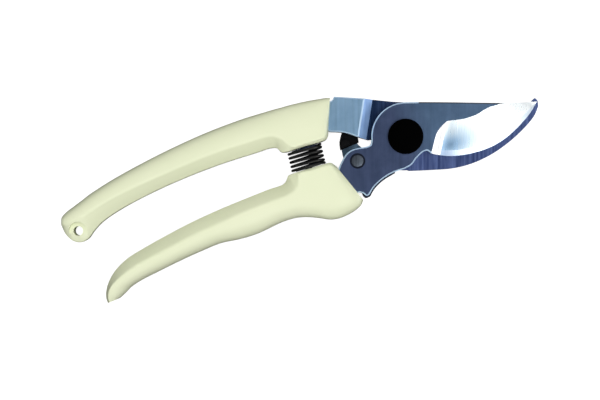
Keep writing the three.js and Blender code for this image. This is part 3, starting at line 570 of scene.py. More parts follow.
HOOK_TOP = [(-22.1, 25.6), (-10, 20.3), (0, 15.5), (4, 13.8)]
HOOK_SHEAR_EDGE = [
    (4, 13.8), (9.2, 10.4), (12.6, 5.6), (13.2, 0.4), (14.4, -4.6),
    (18.6, -8.9), (26, -11.7), (35, -11.6), (44, -8.9), (51, -5.6), (56.2, -3.3),
]
HOOK_TIP = [(56.2, -3.3), (56.8, -4.6), (56.3, -7)]
HOOK_BELLY = [
    (56.3, -7), (53.3, -10.2), (45, -14.8), (34.2, -18.5), (25.8, -19.8),
    (19.5, -19.8), (13.8, -19), (5, -16.5), (-3.6, -13.8),
]
HOOK_THROAT = [(-14.9, 3.9), (-18.7, 6.7), (-23.3, 10.2), (-29, 12.7)]
HOOK_OUTLINE = (
    smooth(HOOK_TOP)
    + smooth(HOOK_SHEAR_EDGE)
    + smooth(HOOK_TIP, 0.3)
    + smooth(HOOK_BELLY)
    + arc((0, 0), HOOK_EYE_RADIUS, -106, -197)
    + smooth(HOOK_THROAT)
    + [(-29.7, 13.6), (-24.6, 24.2), (-23.3, 24.5)]
)
NECK_FLARE = (  # the forging's back half is a little wider than its face, below the neck; it is near-black, painted shade
    smooth([(-9, -12.75), (-15, -14.05), (-19.4, -16.1), (-22.0, -18.3)])
    + smooth([(-22.0, -18.3), (-23.9, -18.4), (-24.9, -16.9)])
    + [(-24.9, -14), (-9, -11)]
)
UPPER_TANG = (
    smooth([(-24.5, 15.6), (-34, 16.2), (-50, 17.6), (-80, 19.6), (-106, 18.4)], 2)
    + smooth([(-106, 18.4), (-108.4, 20.8), (-106, 23.2)])
    + smooth([(-106, 23.2), (-80, 25.6), (-50, 25), (-34, 23.6), (-24.5, 23.2)], 2)
)
LOWER_TANG = (
    smooth([(-24.5, -13.6), (-36, -14.4), (-50, -13.4), (-80, -12.6), (-103, -13)], 2)
    + smooth([(-103, -13), (-105.4, -10.7), (-103, -8.4)])
    + smooth([(-103, -8.4), (-80, -6), (-50, -5.4), (-36, -5), (-24.5, -4.6)], 2)
)
NECK_FLARE_DEPTH = 3.0 * MM  # how far its front is behind the forging's
TANG_LOW, TANG_HIGH = GRIP_MIDDLE - 2.6 * MM, GRIP_MIDDLE + 2.6 * MM

# ---- cutting blade ----
BEVEL_RIBS = [  # (upper line, cutting edge, depth as a part of the blade's thickness)
    ((11.4, -4.6), (7.3, -10.6), 0),
    ((12.7, -3.0), (8.0, -11.0), 0.28),
    ((14.6, -1.6), (8.9, -11.4), 0.64),
    ((16.7, -0.5), (9.9, -11.9), 0.92),
    ((18.4, 0.0), (10.9, -12.4), 1),
    ((22.1, -0.8), (17.0, -14.6), 1),
    ((26.0, -1.5), (23.0, -15.8), 1),
    ((30.8, -1.5), (29.0, -16.2), 1),
    ((34.2, -0.8), (35.5, -15.6), 1),
    ((37.5, -0.5), (42.0, -13.7), 1),
    ((42.0, -1.1), (48.0, -10.9), 1),
    ((48.0, -2.4), (52.5, -8.1), 1),
    ((53.0, -3.8), (55.4, -6.0), 1),
    ((57.0, -4.9), (57.8, -5.2), 1),
]
EDGE_LAND = 0.25 * MM
BEVEL_STEEPEST = 0.25  # rise over run: where the blade narrows to its tip the bevel thins the spine instead
BEVEL_STEPS = 6  # ribs made between each two that are given
FILLET_RIBS = 4  # the first spans between ribs are the fillet that ends the bevel
MICRO_BEVEL_SHARE = 0.16  # of the bevel's width
MICRO_BEVEL_RISE = 0.12 * MM
BEVEL_LIFT = 0.003 * MM  # so that the cutter's ends don't lie in the blade's face


def bevel_cutter():
    """Everything above the ground bevel. Each ring runs past its rib at both ends."""
    depth = FRONT - BLADE_BACK - EDGE_LAND
    given = [(*top, *edge, share) for top, edge, share in BEVEL_RIBS]
    shares = [k / BEVEL_STEPS for k in range((len(given) - 1) * BEVEL_STEPS + 1)]
    rings = []
    for top_x, top_y, edge_x, edge_y, share in spline(given, shares):
        edge = Vector((edge_x * MM, edge_y * MM, FRONT + BEVEL_LIFT - depth * share))
        top = Vector((top_x * MM, top_y * MM, edge.z))
        top.z += min(depth * share, BEVEL_STEEPEST * (top - edge).length)
        first, last = top.lerp(edge, -0.1), top.lerp(edge, 1.35)
        knee = top.lerp(edge, 1 - MICRO_BEVEL_SHARE)
        knee.z += MICRO_BEVEL_RISE * max(share, 0)
        roof = FRONT + 5 * MM
        rings.append([first, top, knee, last, (last.x, last.y, roof), (first.x, first.y, roof)])
    verts, faces = skin(rings)
    cutter = add_object("bevel_cutter", verts, faces, [BEVEL, MICRO_BEVEL, FILLET_HIGHLIGHT])
    sides = len(rings[0])
    for k, face in enumerate(cutter.data.polygons):
        # the fillet's faces take the painted highlight
        if k < FILLET_RIBS * BEVEL_STEPS * sides:
            face.material_index = 2
        elif k % sides == 2:
            face.material_index = 1
    return cutter


def bolt_neck(extra):
    """The bolt's double-flat neck, or its hole when it is given an extra clearance."""
    neck = disc("neck", (0, 0), BOLT_RADIUS + extra, BLADE_BACK - BEYOND, FRONT + BEYOND, [FORGED])
    low, high = (-10 * MM, -NECK_HALF - extra, 0), (10 * MM, NECK_HALF + extra, 20 * MM)
    flats = block("flats", low, high, [FORGED])
    return combine(neck, flats, "INTERSECT")


def paint_top(obj, height, top, side, rim=None):
    """Gives flat faces at this height one material, sloping rims another, and the rest the side's."""
    slots = {m.name: i for i, m in enumerate(obj.data.materials)}
    for face in obj.data.polygons:
        if obj.data.materials[face.material_index] not in (top, side, rim):
            continue
        flat = face.normal.z > 0.99 and abs(face.center.z - height) < 0.05 * MM
        sloped = rim and 0.3 < face.normal.z < 0.95 and face.center.z > height - MM
        chosen = top if flat else rim if sloped else side
        face.material_index = slots[chosen.name]


def paint_spine_shade(blade, rim, side):
    """Painted shade: the chamfer along the spine gets the forging's dark side finish in place of the
    painted highlight.
    """
    for face in blade.data.polygons:
        on_spine = face.center.x > SPINE[0][0] * MM and face.center.y > SPINE[-1][1] * MM
        if face.material_index == rim and on_spine:
            face.material_index = side


def make_cutting_blade():
    finishes = [BLADE_FACE, FORGED, EDGE_HIGHLIGHT_STEEL, BEVEL, MICRO_BEVEL, FILLET_HIGHLIGHT, SHADED_STEEL]
    blade = plate("blade_forging", BLADE_OUTLINE, BACK, FRONT, finishes, FORGING_CHAMFER)
    # the sloping chamfers get the bright edge steel, a painted highlight
    paint_top(blade, FRONT, BLADE_FACE, FORGED, EDGE_HIGHLIGHT_STEEL)
    paint_spine_shade(blade, finishes.index(EDGE_HIGHLIGHT_STEEL), finishes.index(FORGED))
    flare_top = FRONT - NECK_FLARE_DEPTH
    # the flare is given near-black shaded steel: painted shade under the neck and notch
    join(blade, plate("neck_flare", NECK_FLARE, BACK, flare_top, [SHADED_STEEL], 0.2 * MM, 2))
    low, high = (-9 * MM, -40 * MM, BACK - BEYOND), (70 * MM, 40 * MM, BLADE_BACK)
    cut(
        blade,
        disc("eye_step", (0, 0), EYE_STEP_RADIUS, BACK - BEYOND, BLADE_BACK, [BLADE_FACE]),
        block("blade_step", low, high, [BLADE_FACE]),
        bevel_cutter(),
    )
    join(blade, plate("tang", LOWER_TANG, TANG_LOW, TANG_HIGH, [FORGED]))
    recess_floor = FRONT - PIN_RECESS_DEPTH
    # the pin hole and counterbore walls take near-black shaded steel: painted shade in the recess
    cut(
        blade,
        bolt_neck(RUNNING_GAP),
        disc("pin_hole", PIN_PLACE, 1.8 * MM, 0, FRONT + BEYOND, [SHADED_STEEL]),
        disc("counterbore", PIN_PLACE, PIN_RECESS_RADIUS, recess_floor, FRONT + BEYOND, [SHADED_STEEL]),
    )
    crease(blade)
    return stands_for(blade, "cutting_blade", "blade_side")


# ---- hook blade ----
SHIM_SEAT_DEPTH = 0.5 * MM


def hook_recess():
    """Everything in front of the hook's blade, up to the slope and ridge that end its tang; the ridge
    carries the bright edge steel as a painted highlight.
    """
    foot = Vector(RAMP_FOOT[1]) * MM
    rise = FRONT + 0.01 * MM - HOOK_FACE
    roof = 9 * MM
    ridge = RIDGE_WIDTH * 0.4
    section = [
        (0, 0), (100 * MM, 0), (100 * MM, roof), (-RAMP_RUN - RIDGE_WIDTH - roof + rise, roof),
        (-RAMP_RUN - RIDGE_WIDTH, rise), (-RAMP_RUN, rise - ridge),
    ]
    rings = []
    for reach in (-80 * MM, 80 * MM):
        base = foot + ALONG_FOOT * reach
        ring = [base + FROM_FOOT * away for away, height in section]
        rings.append([(p.x, p.y, HOOK_FACE + height) for p, (away, height) in zip(ring, section)])
    verts, faces = skin(rings)
    recess = add_object("hook_recess", verts, faces, [HOOK_FACE_STEEL, RAMP_STEEL, EDGE_HIGHLIGHT_STEEL])
    # face 4, the ridge, gets the painted highlight, and face 5, the slope, the ramp steel
    for face, finish in ((4, 2), (5, 1)):
        recess.data.polygons[face].material_index = finish
    return recess


def make_hook_blade():
    finishes = [TANG_FACE, FORGED, EDGE_HIGHLIGHT_STEEL, HOOK_FACE_STEEL, RAMP_STEEL]
    hook = plate("hook_forging", HOOK_OUTLINE, BACK, FRONT, finishes, FORGING_CHAMFER)
    # the sloping chamfers get the bright edge steel, a painted highlight
    paint_top(hook, FRONT, TANG_FACE, FORGED, EDGE_HIGHLIGHT_STEEL)
    cut(hook, hook_recess())
    join(hook, plate("tang", UPPER_TANG, TANG_LOW, TANG_HIGH, [FORGED]))
    cut(
        hook,
        disc("bolt_hole", (0, 0), BOLT_RADIUS + RUNNING_GAP, 0, FRONT, [FORGED]),
        disc("shim_seat", (0, 0), SHIM_RADIUS + 0.2 * MM, HOOK_FACE - SHIM_SEAT_DEPTH, FRONT, [FORGED]),
    )
    crease(hook)
    return stands_for(hook, "hook_blade", "hook_side")


# ---- grips ----
# (inner edge, ridge, outer edge, half thickness at the ridge, at the inner edge, squareness)
UPPER_RIBS = [
    ((-146.4, 12.9), (-146.0, 13.7), (-146.3, 14.8), 4.0, 2.2, 2.2),
    ((-146.0, 10.0), (-144.6, 13.8), (-145.3, 17.2), 5.8, 2.2, 2.2),
    ((-144.2, 6.6), (-142.4, 13.8), (-143.2, 18.5), 6.7, 2.2, 2.2),
    ((-141.2, 4.8), (-139.6, 13.9), (-139.6, 19.7), 7.1, 2.3, 2.2),
    ((-137.8, 5.2), (-136.2, 14.5), (-135.6, 20.9), 7.3, 2.6, 2.2),
    ((-134.2, 7.6), (-132.4, 15.4), (-131.6, 22.2), 7.4, 2.9, 2.2),
    ((-129.4, 9.9), (-127.8, 16.5), (-126.8, 23.4), 7.5, 3.2, 2.2),
    ((-120, 12.2), (-119.2, 17.9), (-118.6, 25.1), 7.5, 3.2, 2.2),
    ((-105, 14.2), (-104.6, 19.1), (-104.2, 27.3), 7.5, 3.2, 2.2),
    ((-90, 15.2), (-90, 20), (-90, 28.9), 7.5, 3.2, 2.2),
    ((-75, 15.4), (-75, 20.4), (-75, 29.9), 7.5, 3.2, 2.2),
    ((-60, 14.8), (-60, 19.8), (-60, 30), 7.5, 3.2, 2.2),
    ((-54.2, 14.6), (-54.6, 19.4), (-54.4, 29.7), 7.5, 3.2, 2.3),
    ((-51.7, 13.8), (-51.3, 18.5), (-50.8, 29.5), 7.5, 3.4, 2.4),
    ((-50.5, 11.6), (-48.7, 16.4), (-47.6, 29.3), 7.5, 4.2, 2.5),
    ((-48.5, 10.8), (-46.8, 13.2), (-44.2, 29.0), 7.5, 5.8, 2.6),
    ((-45.2, 10.6), (-45.3, 11.7), (-41.2, 28.8), 7.5, 6.8, 2.7),
    ((-40, 10.3), (-40, 11.4), (-37.4, 28.4), 7.5, 6.8, 2.8),
    ((-34, 9.9), (-34.2, 11), (-31.8, 27.6), 7.5, 6.8, 3),
    ((-31.2, 10.1), (-31.7, 11.1), (-28.2, 26.9), 7.1, 6.2, 3.2),
    ((-29.9, 11.3), (-30.3, 12.2), (-25.6, 26.4), 6.2, 5.2, 3.4),
    ((-29.2, 12.9), (-29.2, 13.8), (-23.8, 25.8), 5.0, 4.4, 3.6),
]
LOWER_RIBS = [
    ((-139.3, -22.7), (-138.3, -22.6), (-134.0, -22.4), 4.4, 2.5, 2.2),
    ((-139.3, -20.8), (-138.0, -20.6), (-132.4, -21.8), 5.6, 2.5, 2.2),
    ((-138.4, -18), (-136.8, -18.2), (-130.4, -20.9), 6.5, 2.4, 2.2),
    ((-136.2, -14.7), (-134.4, -16.1), (-128.2, -19.8), 7.1, 2.2, 2.2),
    ((-132.2, -11.2), (-130.6, -14.4), (-125.4, -19), 7.4, 2.1, 2.2),
    ((-126, -8.2), (-125.2, -12.6), (-121.4, -18.3), 7.5, 2.0, 2.2),
    ((-118, -6.4), (-117.4, -11.1), (-115.4, -17.6), 7.5, 2.0, 2.2),
    ((-105, -4.3), (-105, -9.4), (-104.4, -16.4), 7.5, 2.0, 2.2),
    ((-95, -3), (-95, -8.1), (-95, -15.7), 7.5, 2.0, 2.2),
    ((-87, -2.3), (-87, -7.5), (-87, -15.4), 7.5, 2.0, 2.2),
    ((-79, -1.8), (-79, -6.8), (-79, -16.5), 7.5, 2.0, 2.2),
    ((-71, -1.5), (-71, -6.4), (-71, -16.9), 7.5, 2.0, 2.2),
    ((-61, -1.2), (-61, -6.2), (-60, -15.9), 7.5, 2.0, 2.2),
    ((-54.2, -1.2), (-54.4, -6.1), (-54.2, -16.2), 7.5, 2.0, 2.3),
    ((-52.4, -0.1), (-51.6, -5.5), (-50.4, -17.2), 7.5, 2.4, 2.4),
    ((-51.2, 1.3), (-49.3, -4.2), (-47.2, -18.5), 7.5, 3.7, 2.5),
    ((-49.4, 1.5), (-48, -2.2), (-44.2, -20), 7.5, 5.2, 2.6),
    ((-46.6, 1.4), (-46.9, 0.4), (-41.2, -21.6), 7.5, 6.8, 2.7),
    ((-41, 1.1), (-41, 0), (-37.4, -22.5), 7.5, 6.8, 2.8),
    ((-34.9, 0.7), (-35.1, -0.4), (-32, -22.2), 7.5, 6.8, 3),
    ((-32.9, 0.4), (-33.4, -0.5), (-29, -21.4), 7.1, 6.2, 3.2),
    ((-31.6, -1), (-32.0, -1.8), (-26.8, -20.4), 6.2, 5.2, 3.4),
    ((-30.8, -2.3), (-30.7, -3.2), (-25.3, -18.8), 5.0, 4.4, 3.6),
]
STATIONS_PER_RIB = 9
EDGE_ROUND = 0.8  # rounding of the inner edge, in mm
RIDGE_ROUND = 0.9  # how far the ridge's rounding reaches to each side, in mm
ROUND_STEPS = 18


def grip_ring(inner, ridge, outer, lip, full, square):
    """One ring of points round the grip, in metres: the inner edge, a flat band, the ridge, and a curve."""
    across = ridge - inner
    width = np.linalg.norm(across)
    toward = across / width
    slope = (full - lip + EDGE_ROUND * 0.3) / max(width - EDGE_ROUND * 0.4, 0.1)
    half = []
    for k in range(4):
        turn = k / 3 * (math.pi / 2 - math.atan(slope))
        place = inner + toward * EDGE_ROUND * (1 - math.cos(turn))
        half.append((*place, lip - EDGE_ROUND * (1 - math.sin(turn))))
    reach = min(RIDGE_ROUND, width * 0.15)
    before = np.array((*(ridge - toward * reach), full - slope * reach))
    corner = np.array((*ridge, full))
    out = outer - ridge
    start = reach / max(np.linalg.norm(out), 1e-6)
    after_height = full * (1 - start ** square) ** (1 / square)
    after = np.array((*(ridge + out * start), after_height))
    for k in range(5):
        t = k / 4
        half.append(tuple(before * (1 - t) ** 2 + corner * 2 * t * (1 - t) + after * t * t))
    for k in range(1, ROUND_STEPS):
        share = math.sin(k / ROUND_STEPS * math.pi / 2)
        share = start + (1 - start) * share
        place = ridge + out * share
        half.append((*place, full * (1 - share ** square) ** (1 / square)))
    front = [(x * MM, y * MM, GRIP_MIDDLE + z * MM) for x, y, z in half]
    back = [(x * MM, y * MM, GRIP_MIDDLE - z * MM) for x, y, z in reversed(half)]
    return front + [(outer[0] * MM, outer[1] * MM, GRIP_MIDDLE)] + back


def grip_body(name, ribs):
    shares = [k / STATIONS_PER_RIB for k in range((len(ribs) - 1) * STATIONS_PER_RIB + 1)]
    inner = spline([(*rib[0], rib[4]) for rib in ribs], shares)
    ridge = spline([(*rib[1], rib[3]) for rib in ribs], shares)
    outer = spline([(*rib[2], rib[5]) for rib in ribs], shares)
    rings = [grip_ring(i[:2], r[:2], o[:2], i[2], r[2], o[2]) for i, r, o in zip(inner, ridge, outer)]
    verts, faces = skin(rings)
    return add_object(name, verts, faces, [CREAM])


def lanyard_cut():
    """The lanyard hole and the round flat faces at its two ends."""
    bottom, top = -BEYOND, 2 * GRIP_MIDDLE + BEYOND
    low, high = GRIP_MIDDLE - LUG_HALF, GRIP_MIDDLE + LUG_HALF
    profile = [
        (0, bottom), (LUG_RADIUS, bottom), (LUG_RADIUS, low), (HOLE_RADIUS, low),
        (HOLE_RADIUS, high), (LUG_RADIUS, high), (LUG_RADIUS, top), (0, top),
    ]
    return turned("lanyard_cut", profile, LANYARD_HOLE * MM, [CREAM], 64)


def make_grip(name, ribs, forging, node, body):
    grip = grip_body(name, ribs)
    outline = grown(forging, POCKET_GAP / MM)
    cut(grip, plate("pocket", outline, BACK - POCKET_GAP, FRONT + POCKET_GAP, [CREAM]))
    if node == "upper_grip":
        cut(grip, lanyard_cut())
    crease(grip, 38)
    return stands_for(grip, node, body)


# ---- spring ----
STEPS_PER_TURN = 56
WIRE_SIDES = 14
NUDGE = 0.002  # in turns, to find which way the wire runs


def coil_point(turns):
    """The middle of the wire after this many turns, and how far it is from the lower seat to the upper."""
    length = (UPPER_SEAT - LOWER_SEAT).length
    open_turns = COIL_TURNS - 2 * END_TURNS
    rise = length - 2 * WIRE_RADIUS - 2 * THIN_GAP
    open_pitch = (rise - 2 * END_TURNS * END_PITCH) / open_turns
    opened = min(max(turns - END_TURNS, 0), open_turns)
    along = (WIRE_RADIUS + THIN_GAP + (turns - opened) * END_PITCH + opened * open_pitch) / length
    middle = LOWER_SEAT.lerp(UPPER_SEAT, along)
    angle = turns * 2 * math.pi
    across = COIL_RADIUS * math.cos(angle)
    place = Vector((
        middle.x + across * math.cos(SEAT_TILT),
        middle.y - across * math.sin(SEAT_TILT),
        GRIP_MIDDLE + COIL_RADIUS * math.sin(angle),
    ))
    return place, opened / open_turns


def make_spring():
    steps = COIL_TURNS * STEPS_PER_TURN
    axis = (UPPER_SEAT - LOWER_SEAT).normalized()
    angles = [2 * math.pi * j / WIRE_SIDES for j in range(WIRE_SIDES)]
    rings, follows = [], []
    for k in range(steps + 1):
        turns = COIL_TURNS * k / steps
        place, share = coil_point(turns)
        ahead = coil_point(min(turns + NUDGE, COIL_TURNS))[0] - coil_point(max(turns - NUDGE, 0))[0]
        side = ahead.cross(axis).normalized()
        up = side.cross(ahead).normalized()
        rings.append([place + (side * math.cos(a) + up * math.sin(a)) * WIRE_RADIUS for a in angles])
        follows += [share] * WIRE_SIDES
    verts, faces = skin(rings)
    spring = add_object("coil_spring", verts, faces, [SPRING_STEEL])
    crease(spring, 50)
    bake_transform(spring)
    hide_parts("return_spring")
    return spring


# ---- pivot ----
DOME_STEPS = 24
THREAD_TURNS = 7
THREAD_PITCH = 0.5 * MM


def bolt_head():
    rim, under = FRONT + 0.9 * MM, FRONT + RUNNING_GAP
    edge = 0.4 * MM
    dome = []
    for k in range(DOME_STEPS):
        angle = k / DOME_STEPS * math.pi / 2
        dome.append((BOLT_HEAD_RADIUS * math.cos(angle) ** 0.6, rim + (BOLT_TOP - rim) * math.sin(angle)))
    start = [(0, under), (BOLT_HEAD_RADIUS - edge, under), (BOLT_HEAD_RADIUS, FRONT + edge)]
    return turned("bolt_body", [*start, *dome, (0, BOLT_TOP)], (0, 0), [BLACK_STEEL, ZINC])


def bolt_shank():
    profile = [(0, 0), (THREAD_RADIUS - 0.5 * MM, 0)]
    for k in range(THREAD_TURNS):
        z = 0.4 * MM + k * THREAD_PITCH
        crest_end, root = z + 0.1 * MM, z + 0.28 * MM
        profile += [(THREAD_RADIUS, z), (THREAD_RADIUS, crest_end), (THREAD_RADIUS - 0.25 * MM, root)]
    profile += [(THREAD_RADIUS, BACK - THIN_GAP), (BOLT_RADIUS, BACK + THIN_GAP)]
    profile += [(BOLT_RADIUS, BLADE_BACK), (0, BLADE_BACK)]
    return turned("shank", profile, (0, 0), [ZINC])


def make_bolt():
    low, high = (-10 * MM, -10 * MM, BLADE_BACK - 0.01 * MM), (10 * MM, 10 * MM, FRONT + 0.5 * MM)
    neck = combine(bolt_neck(0), block("neck_box", low, high), "INTERSECT")
    bolt = bolt_head()
    join(bolt, neck, bolt_shank())
    crease(bolt)
    return stands_for(bolt, "pivot_bolt", "blade_side")


def hexagon(across_flats):
    radius = across_flats / math.sqrt(3)
    return [(radius * math.cos(k * math.pi / 3), radius * math.sin(k * math.pi / 3)) for k in range(6)]


def make_nut():
    corner = NUT_ACROSS_FLATS * MM / math.sqrt(3)
    nut = plate("nut_body", hexagon(NUT_ACROSS_FLATS), 0, NUT_TOP, [ZINC], 0.12 * MM)
    crown = turned("crown", [
        (0, 0), (corner - 1.1 * MM, 0), (corner - 0.5 * MM, 0.25 * MM), (corner, 0.75 * MM),
        (corner, NUT_TOP), (0, NUT_TOP),
    ], (0, 0), [ZINC])
    combine(nut, crown, "INTERSECT")
    bore, countersink = THREAD_RADIUS + 0.05 * MM, THREAD_RADIUS + 0.6 * MM
    mouth = turned("mouth", [
        (0, -BEYOND), (countersink, -BEYOND), (countersink, 0), (bore, 0.5 * MM),
        (bore, NUT_TOP + BEYOND), (0, NUT_TOP + BEYOND),
    ], (0, 0), [ZINC])
    cut(nut, mouth)
    crease(nut)
    return stands_for(nut, "pivot_nut", "blade_side")


def make_ring(name, centre, hole, radius, low, high, material, rounding):
    """A flat washer with rounded rims. Its centre is in mm."""
    ring = plate(name, circle(centre, radius / MM, 96), low, high, [material], rounding, 3)
    cut(ring, disc("hole", centre, hole, low - BEYOND, high + BEYOND, [material], 64))
    return crease(ring)


def make_tab_washer():
    low, high = NUT_TOP + THIN_GAP, BACK - THIN_GAP
    washer = plate("washer_body", circle((0, 0), TAB_WASHER_RADIUS, 96), low, high, [ZINC], 0.12 * MM, 2)
    inside, half_width = (NUT_ACROSS_FLATS / 2 + 0.15) * MM, 2.2 * MM
    start, end = (-half_width, inside, MM), (half_width, inside + 0.8 * MM, high - THIN_GAP)
    join(washer, block("tab", start, end, [ZINC]))
    cut(washer, disc("hole", (0, 0), THREAD_RADIUS + RUNNING_GAP, 0, BACK + BEYOND, [ZINC], 64))
    crease(washer)
    return stands_for(washer, "tab_washer", "blade_side")


def make_shim():
    low, high = HOOK_FACE - SHIM_SEAT_DEPTH + 0.05 * MM, HOOK_FACE + THIN_GAP
    hole = BOLT_RADIUS + RUNNING_GAP
    shim = make_ring("shim_body", (0, 0), hole, SHIM_RADIUS, low, high, ZINC, 0.08 * MM)
    return stands_for(shim, "pivot_shim", "blade_side")


# ---- safety catch ----
CATCH_BACK_EDGE = [
    (-26.6, -1.6), (-26.8, 1.4), (-26.2, 4.6), (-25.0, 7.8),
    (-22.8, 11.6), (-19.9, 14.9), (-16.6, 16.0), (-13.4, 14.9),
]
CATCH_FRONT_EDGE = [(-18.3, 12.6), (-18.9, 9.6), (-19.0, 6.4), (-19.4, 4.4), (-17.9, 1.2), (-17.6, -1.6)]
CATCH_OUTLINE = (
    smooth(CATCH_BACK_EDGE)
    + smooth([(-13.4, 14.9), (-12.8, 13.6), (-13.8, 12.3)], 0.4)
    + arc(PIN_PLACE, 17.1, 61, 75)
    + smooth(CATCH_FRONT_EDGE)
    + arc(PIN_PLACE, 4.6, 14, -194)
)
PAD_OUTLINE = (
    smooth([(-27.0, 4.0), (-26.2, 7.2), (-23.6, 11.2)], 0.4)
    + smooth([(-23.6, 11.2), (-21, 10.6), (-18.3, 9.2)], 0.4)
    + smooth([(-18.3, 9.2), (-18.3, 6.4), (-18.8, 4.0)], 0.4)
)
THUMB_OUTLINE = (
    smooth([(-26.6, 4.4), (-26.4, 5.8), (-25.8, 7.2)], 0.3)
    + smooth([(-25.8, 7.2), (-24.2, 7.5), (-22.8, 6.9)], 0.3)
    + smooth([(-22.8, 6.9), (-22.4, 5.6), (-22.8, 4.4)], 0.3)
)
PAD_LOW, PAD_HIGH, THUMB_TOP = 0.3 * MM, 3.75 * MM, 8.0 * MM
GROOVES = 3
GROOVE_START = 4.95 * MM
GROOVE_PITCH = 0.85 * MM
GROOVE_WIDTH = 0.35 * MM
GROOVE_DEPTH = 0.25 * MM


def make_catch_lever():
    finish = [CATCH_STEEL]
    lever = plate("catch_stamping", CATCH_OUTLINE, CATCH_LOW, CATCH_HIGH, finish, 0.2 * MM, 2)
    cut(lever, disc("hole", PIN_PLACE, PIN_RADIUS + RUNNING_GAP, 0, BACK, finish, 64))
    crease(lever)
    return stands_for(lever, "catch_lever", "catch")


def thumb_block():
    finish = [BLACK_PLASTIC]
    thumb = plate("thumb", THUMB_OUTLINE, PAD_HIGH - 0.4 * MM, THUMB_TOP, finish, 0.2 * MM, 2)
    for k in range(GROOVES):
        y = GROOVE_START + k * GROOVE_PITCH
        low = (-27.5 * MM, y, THUMB_TOP - GROOVE_DEPTH)
        high = (-21.5 * MM, y + GROOVE_WIDTH, THUMB_TOP + BEYOND)
        cut(thumb, block("groove", low, high, finish))
    return thumb


def make_catch_pad():
    finish = [BLACK_PLASTIC]
    pad = plate("catch_grip", PAD_OUTLINE, PAD_LOW, PAD_HIGH, finish, 0.3 * MM, 3)
    around = grown(CATCH_OUTLINE, THIN_GAP / MM)
    cut(pad, plate("sleeve", around, CATCH_LOW - THIN_GAP, CATCH_HIGH + THIN_GAP, finish))
    join(pad, thumb_block())
    crease(pad)
    return stands_for(pad, "catch_pad", "catch")


def make_catch_pin():
    """The rivet: a round head at the back, and a flush one in the blade's recess."""
    under = FRONT - PIN_RECESS_DEPTH + RUNNING_GAP
    back_radius, back_top = 3.2 * MM, 1.2 * MM
    pin = turned("rivet_body", [
        (0, PIN_LOW), (back_radius - 1.0 * MM, PIN_LOW), (back_radius - 0.3 * MM, PIN_LOW + 0.2 * MM),
        (back_radius, PIN_LOW + 0.5 * MM), (back_radius, back_top), (PIN_RADIUS, back_top),
        (PIN_RADIUS, under), (PIN_HEAD_RADIUS, under), (PIN_HEAD_RADIUS, FRONT - 0.2 * MM),
        (PIN_HEAD_RADIUS - 0.07 * MM, FRONT - 0.05 * MM), (PIN_HEAD_RADIUS - 0.25 * MM, FRONT), (0, FRONT),
    ], (CATCH_PIN.x, CATCH_PIN.y), [RIVET])
    crease(pin)
    return stands_for(pin, "catch_pin", "blade_side")


def make_catch_washer():
    low, high = CATCH_HIGH + 0.15 * MM, BACK - 0.15 * MM
    wave = make_ring("wave_body", PIN_PLACE, PIN_RADIUS + 0.15 * MM, 4.2 * MM, low, high, ZINC, 0.12 * MM)
    return stands_for(wave, "catch_washer", "blade_side")


def make_keeper():
    end, shoulder = 0.9 * MM, BACK - RUNNING_GAP
    radius, shank, shank_top = 1.7 * MM, 1.2 * MM, 7.0 * MM
    stud = turned("keeper_body", [
        (0, end), (radius - 0.35 * MM, end), (radius - 0.1 * MM, end + 0.08 * MM), (radius, end + 0.3 * MM),
        (radius, shoulder), (shank, shoulder), (shank, shank_top), (0, shank_top),
    ], (KEEPER.x, KEEPER.y), [ZINC])
    crease(stud)
    return stands_for(stud, "keeper_stud", "hook_side")


make_cutting_blade()
make_hook_blade()
make_grip("upper_moulding", UPPER_RIBS, HOOK_OUTLINE, "upper_grip", "hook_side")
make_grip("lower_moulding", LOWER_RIBS, BLADE_OUTLINE, "lower_grip", "blade_side")
make_spring()
make_bolt()
make_nut()
make_tab_washer()
make_catch_lever()
make_catch_pad()
make_catch_pin()
make_keeper()
make_catch_washer()
make_shim()
# Painted shade: the spring pegs are made near-black, as they sit in shade inside the coils.
for node in ("lower_spring_peg", "upper_spring_peg"):
    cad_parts[node].data.materials.clear()
    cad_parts[node].data.materials.append(SHADED_STEEL)

# ---- floor, light and camera ----
VIEW_CENTRE = Vector((-49.95 * MM, -9.75 * MM, 11 * MM))
VIEW_DISTANCE = 0.68
VIEW_WIDTH = 247.9 * MM
VIEW_TURN = math.radians(-20)


def make_floor():
    n = Nodes("pale_floor")
    n.shader.inputs["Base Color"].default_value = (0.55, 0.55, 0.55, 1)
    n.shader.inputs["Roughness"].default_value = 0.9
    n.shader.inputs["Emission Color"].default_value = (1, 1, 1, 1)
    n.shader.inputs["Emission Strength"].default_value = 0.8
    floor = block("floor", (-3, -3, -10 * MM), (3, 3, -0.1 * MM), [n.material])
    floor.visible_diffuse = False
    floor.visible_glossy = False


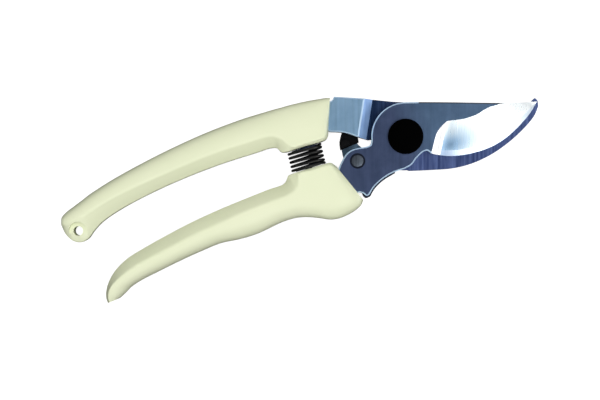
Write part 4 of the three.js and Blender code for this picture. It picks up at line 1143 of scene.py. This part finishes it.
def make_world():
    """A soft room: dark below, a pale band at the horizon, brighter in front of the tool than behind it."""
    world = bpy.data.worlds.new("studio")
    bpy.context.scene.world = world
    world.use_nodes = True
    tree = world.node_tree
    place = tree.nodes.new("ShaderNodeTexCoord")
    split = tree.nodes.new("ShaderNodeSeparateXYZ")
    height = tree.nodes.new("ShaderNodeMapRange")
    side = tree.nodes.new("ShaderNodeMapRange")
    ramp = tree.nodes.new("ShaderNodeValToRGB")
    height.inputs["From Min"].default_value = -1
    side.inputs["From Min"].default_value = -1
    side.inputs["To Min"].default_value = 0.74
    side.inputs["To Max"].default_value = 0.48
    tree.links.new(place.outputs["Generated"], split.inputs["Vector"])
    tree.links.new(split.outputs["Z"], height.inputs["Value"])
    tree.links.new(split.outputs["Y"], side.inputs["Value"])
    tree.links.new(height.outputs["Result"], ramp.inputs["Fac"])
    stops = [(0.0, 0.05), (0.42, 0.08), (0.48, 0.85), (0.62, 0.85), (0.72, 0.48), (1.0, 0.48)]
    while len(ramp.color_ramp.elements) < len(stops):
        ramp.color_ramp.elements.new(0.5)
    for element, (at, grey) in zip(ramp.color_ramp.elements, stops):
        element.position = at
        element.color = (grey, grey, grey, 1)
    background = tree.nodes["Background"]
    tree.links.new(ramp.outputs["Color"], background.inputs["Color"])
    tree.links.new(side.outputs["Result"], background.inputs["Strength"])


def make_light(name, place, size, power, on_cream=True, on_steel=True):
    """A softbox. on_cream is its diffuse light, and on_steel its reflection."""
    light = bpy.data.lights.new(name, "AREA")
    light.shape = "RECTANGLE"
    light.size, light.size_y = size
    light.energy = power
    obj = bpy.data.objects.new(name, light)
    obj.location = place
    aim = Vector((-0.03, 0, 0)) - Vector(place)
    obj.rotation_mode = "QUATERNION"
    obj.rotation_quaternion = aim.to_track_quat("-Z", "Y")
    obj.visible_diffuse = on_cream
    obj.visible_glossy = on_steel
    bpy.context.scene.collection.objects.link(obj)


def make_camera():
    data = bpy.data.cameras.new("camera")
    data.sensor_width = 36
    data.lens = data.sensor_width * VIEW_DISTANCE / VIEW_WIDTH
    camera = bpy.data.objects.new("camera", data)
    camera.location = VIEW_CENTRE + Vector((0, 0, VIEW_DISTANCE))
    camera.rotation_euler = (0, 0, VIEW_TURN)
    bpy.context.scene.collection.objects.link(camera)
    bpy.context.scene.camera = camera


make_floor()
make_world()
make_light("key", (-0.08, 0.03, 1.0), (0.5, 0.5), 7.0, on_steel=False)
make_light("bevel", (0.10, -0.50, 0.80), (0.55, 0.35), 2.3, on_cream=False)
make_light("fillet", (0.85, -0.35, 0.22), (0.5, 0.4), 3.0, on_cream=False)
make_light("end", (0.60, 0.05, 0.80), (0.25, 0.5), 1.0)
make_camera()
bpy.context.scene.view_settings.view_transform = "Standard"
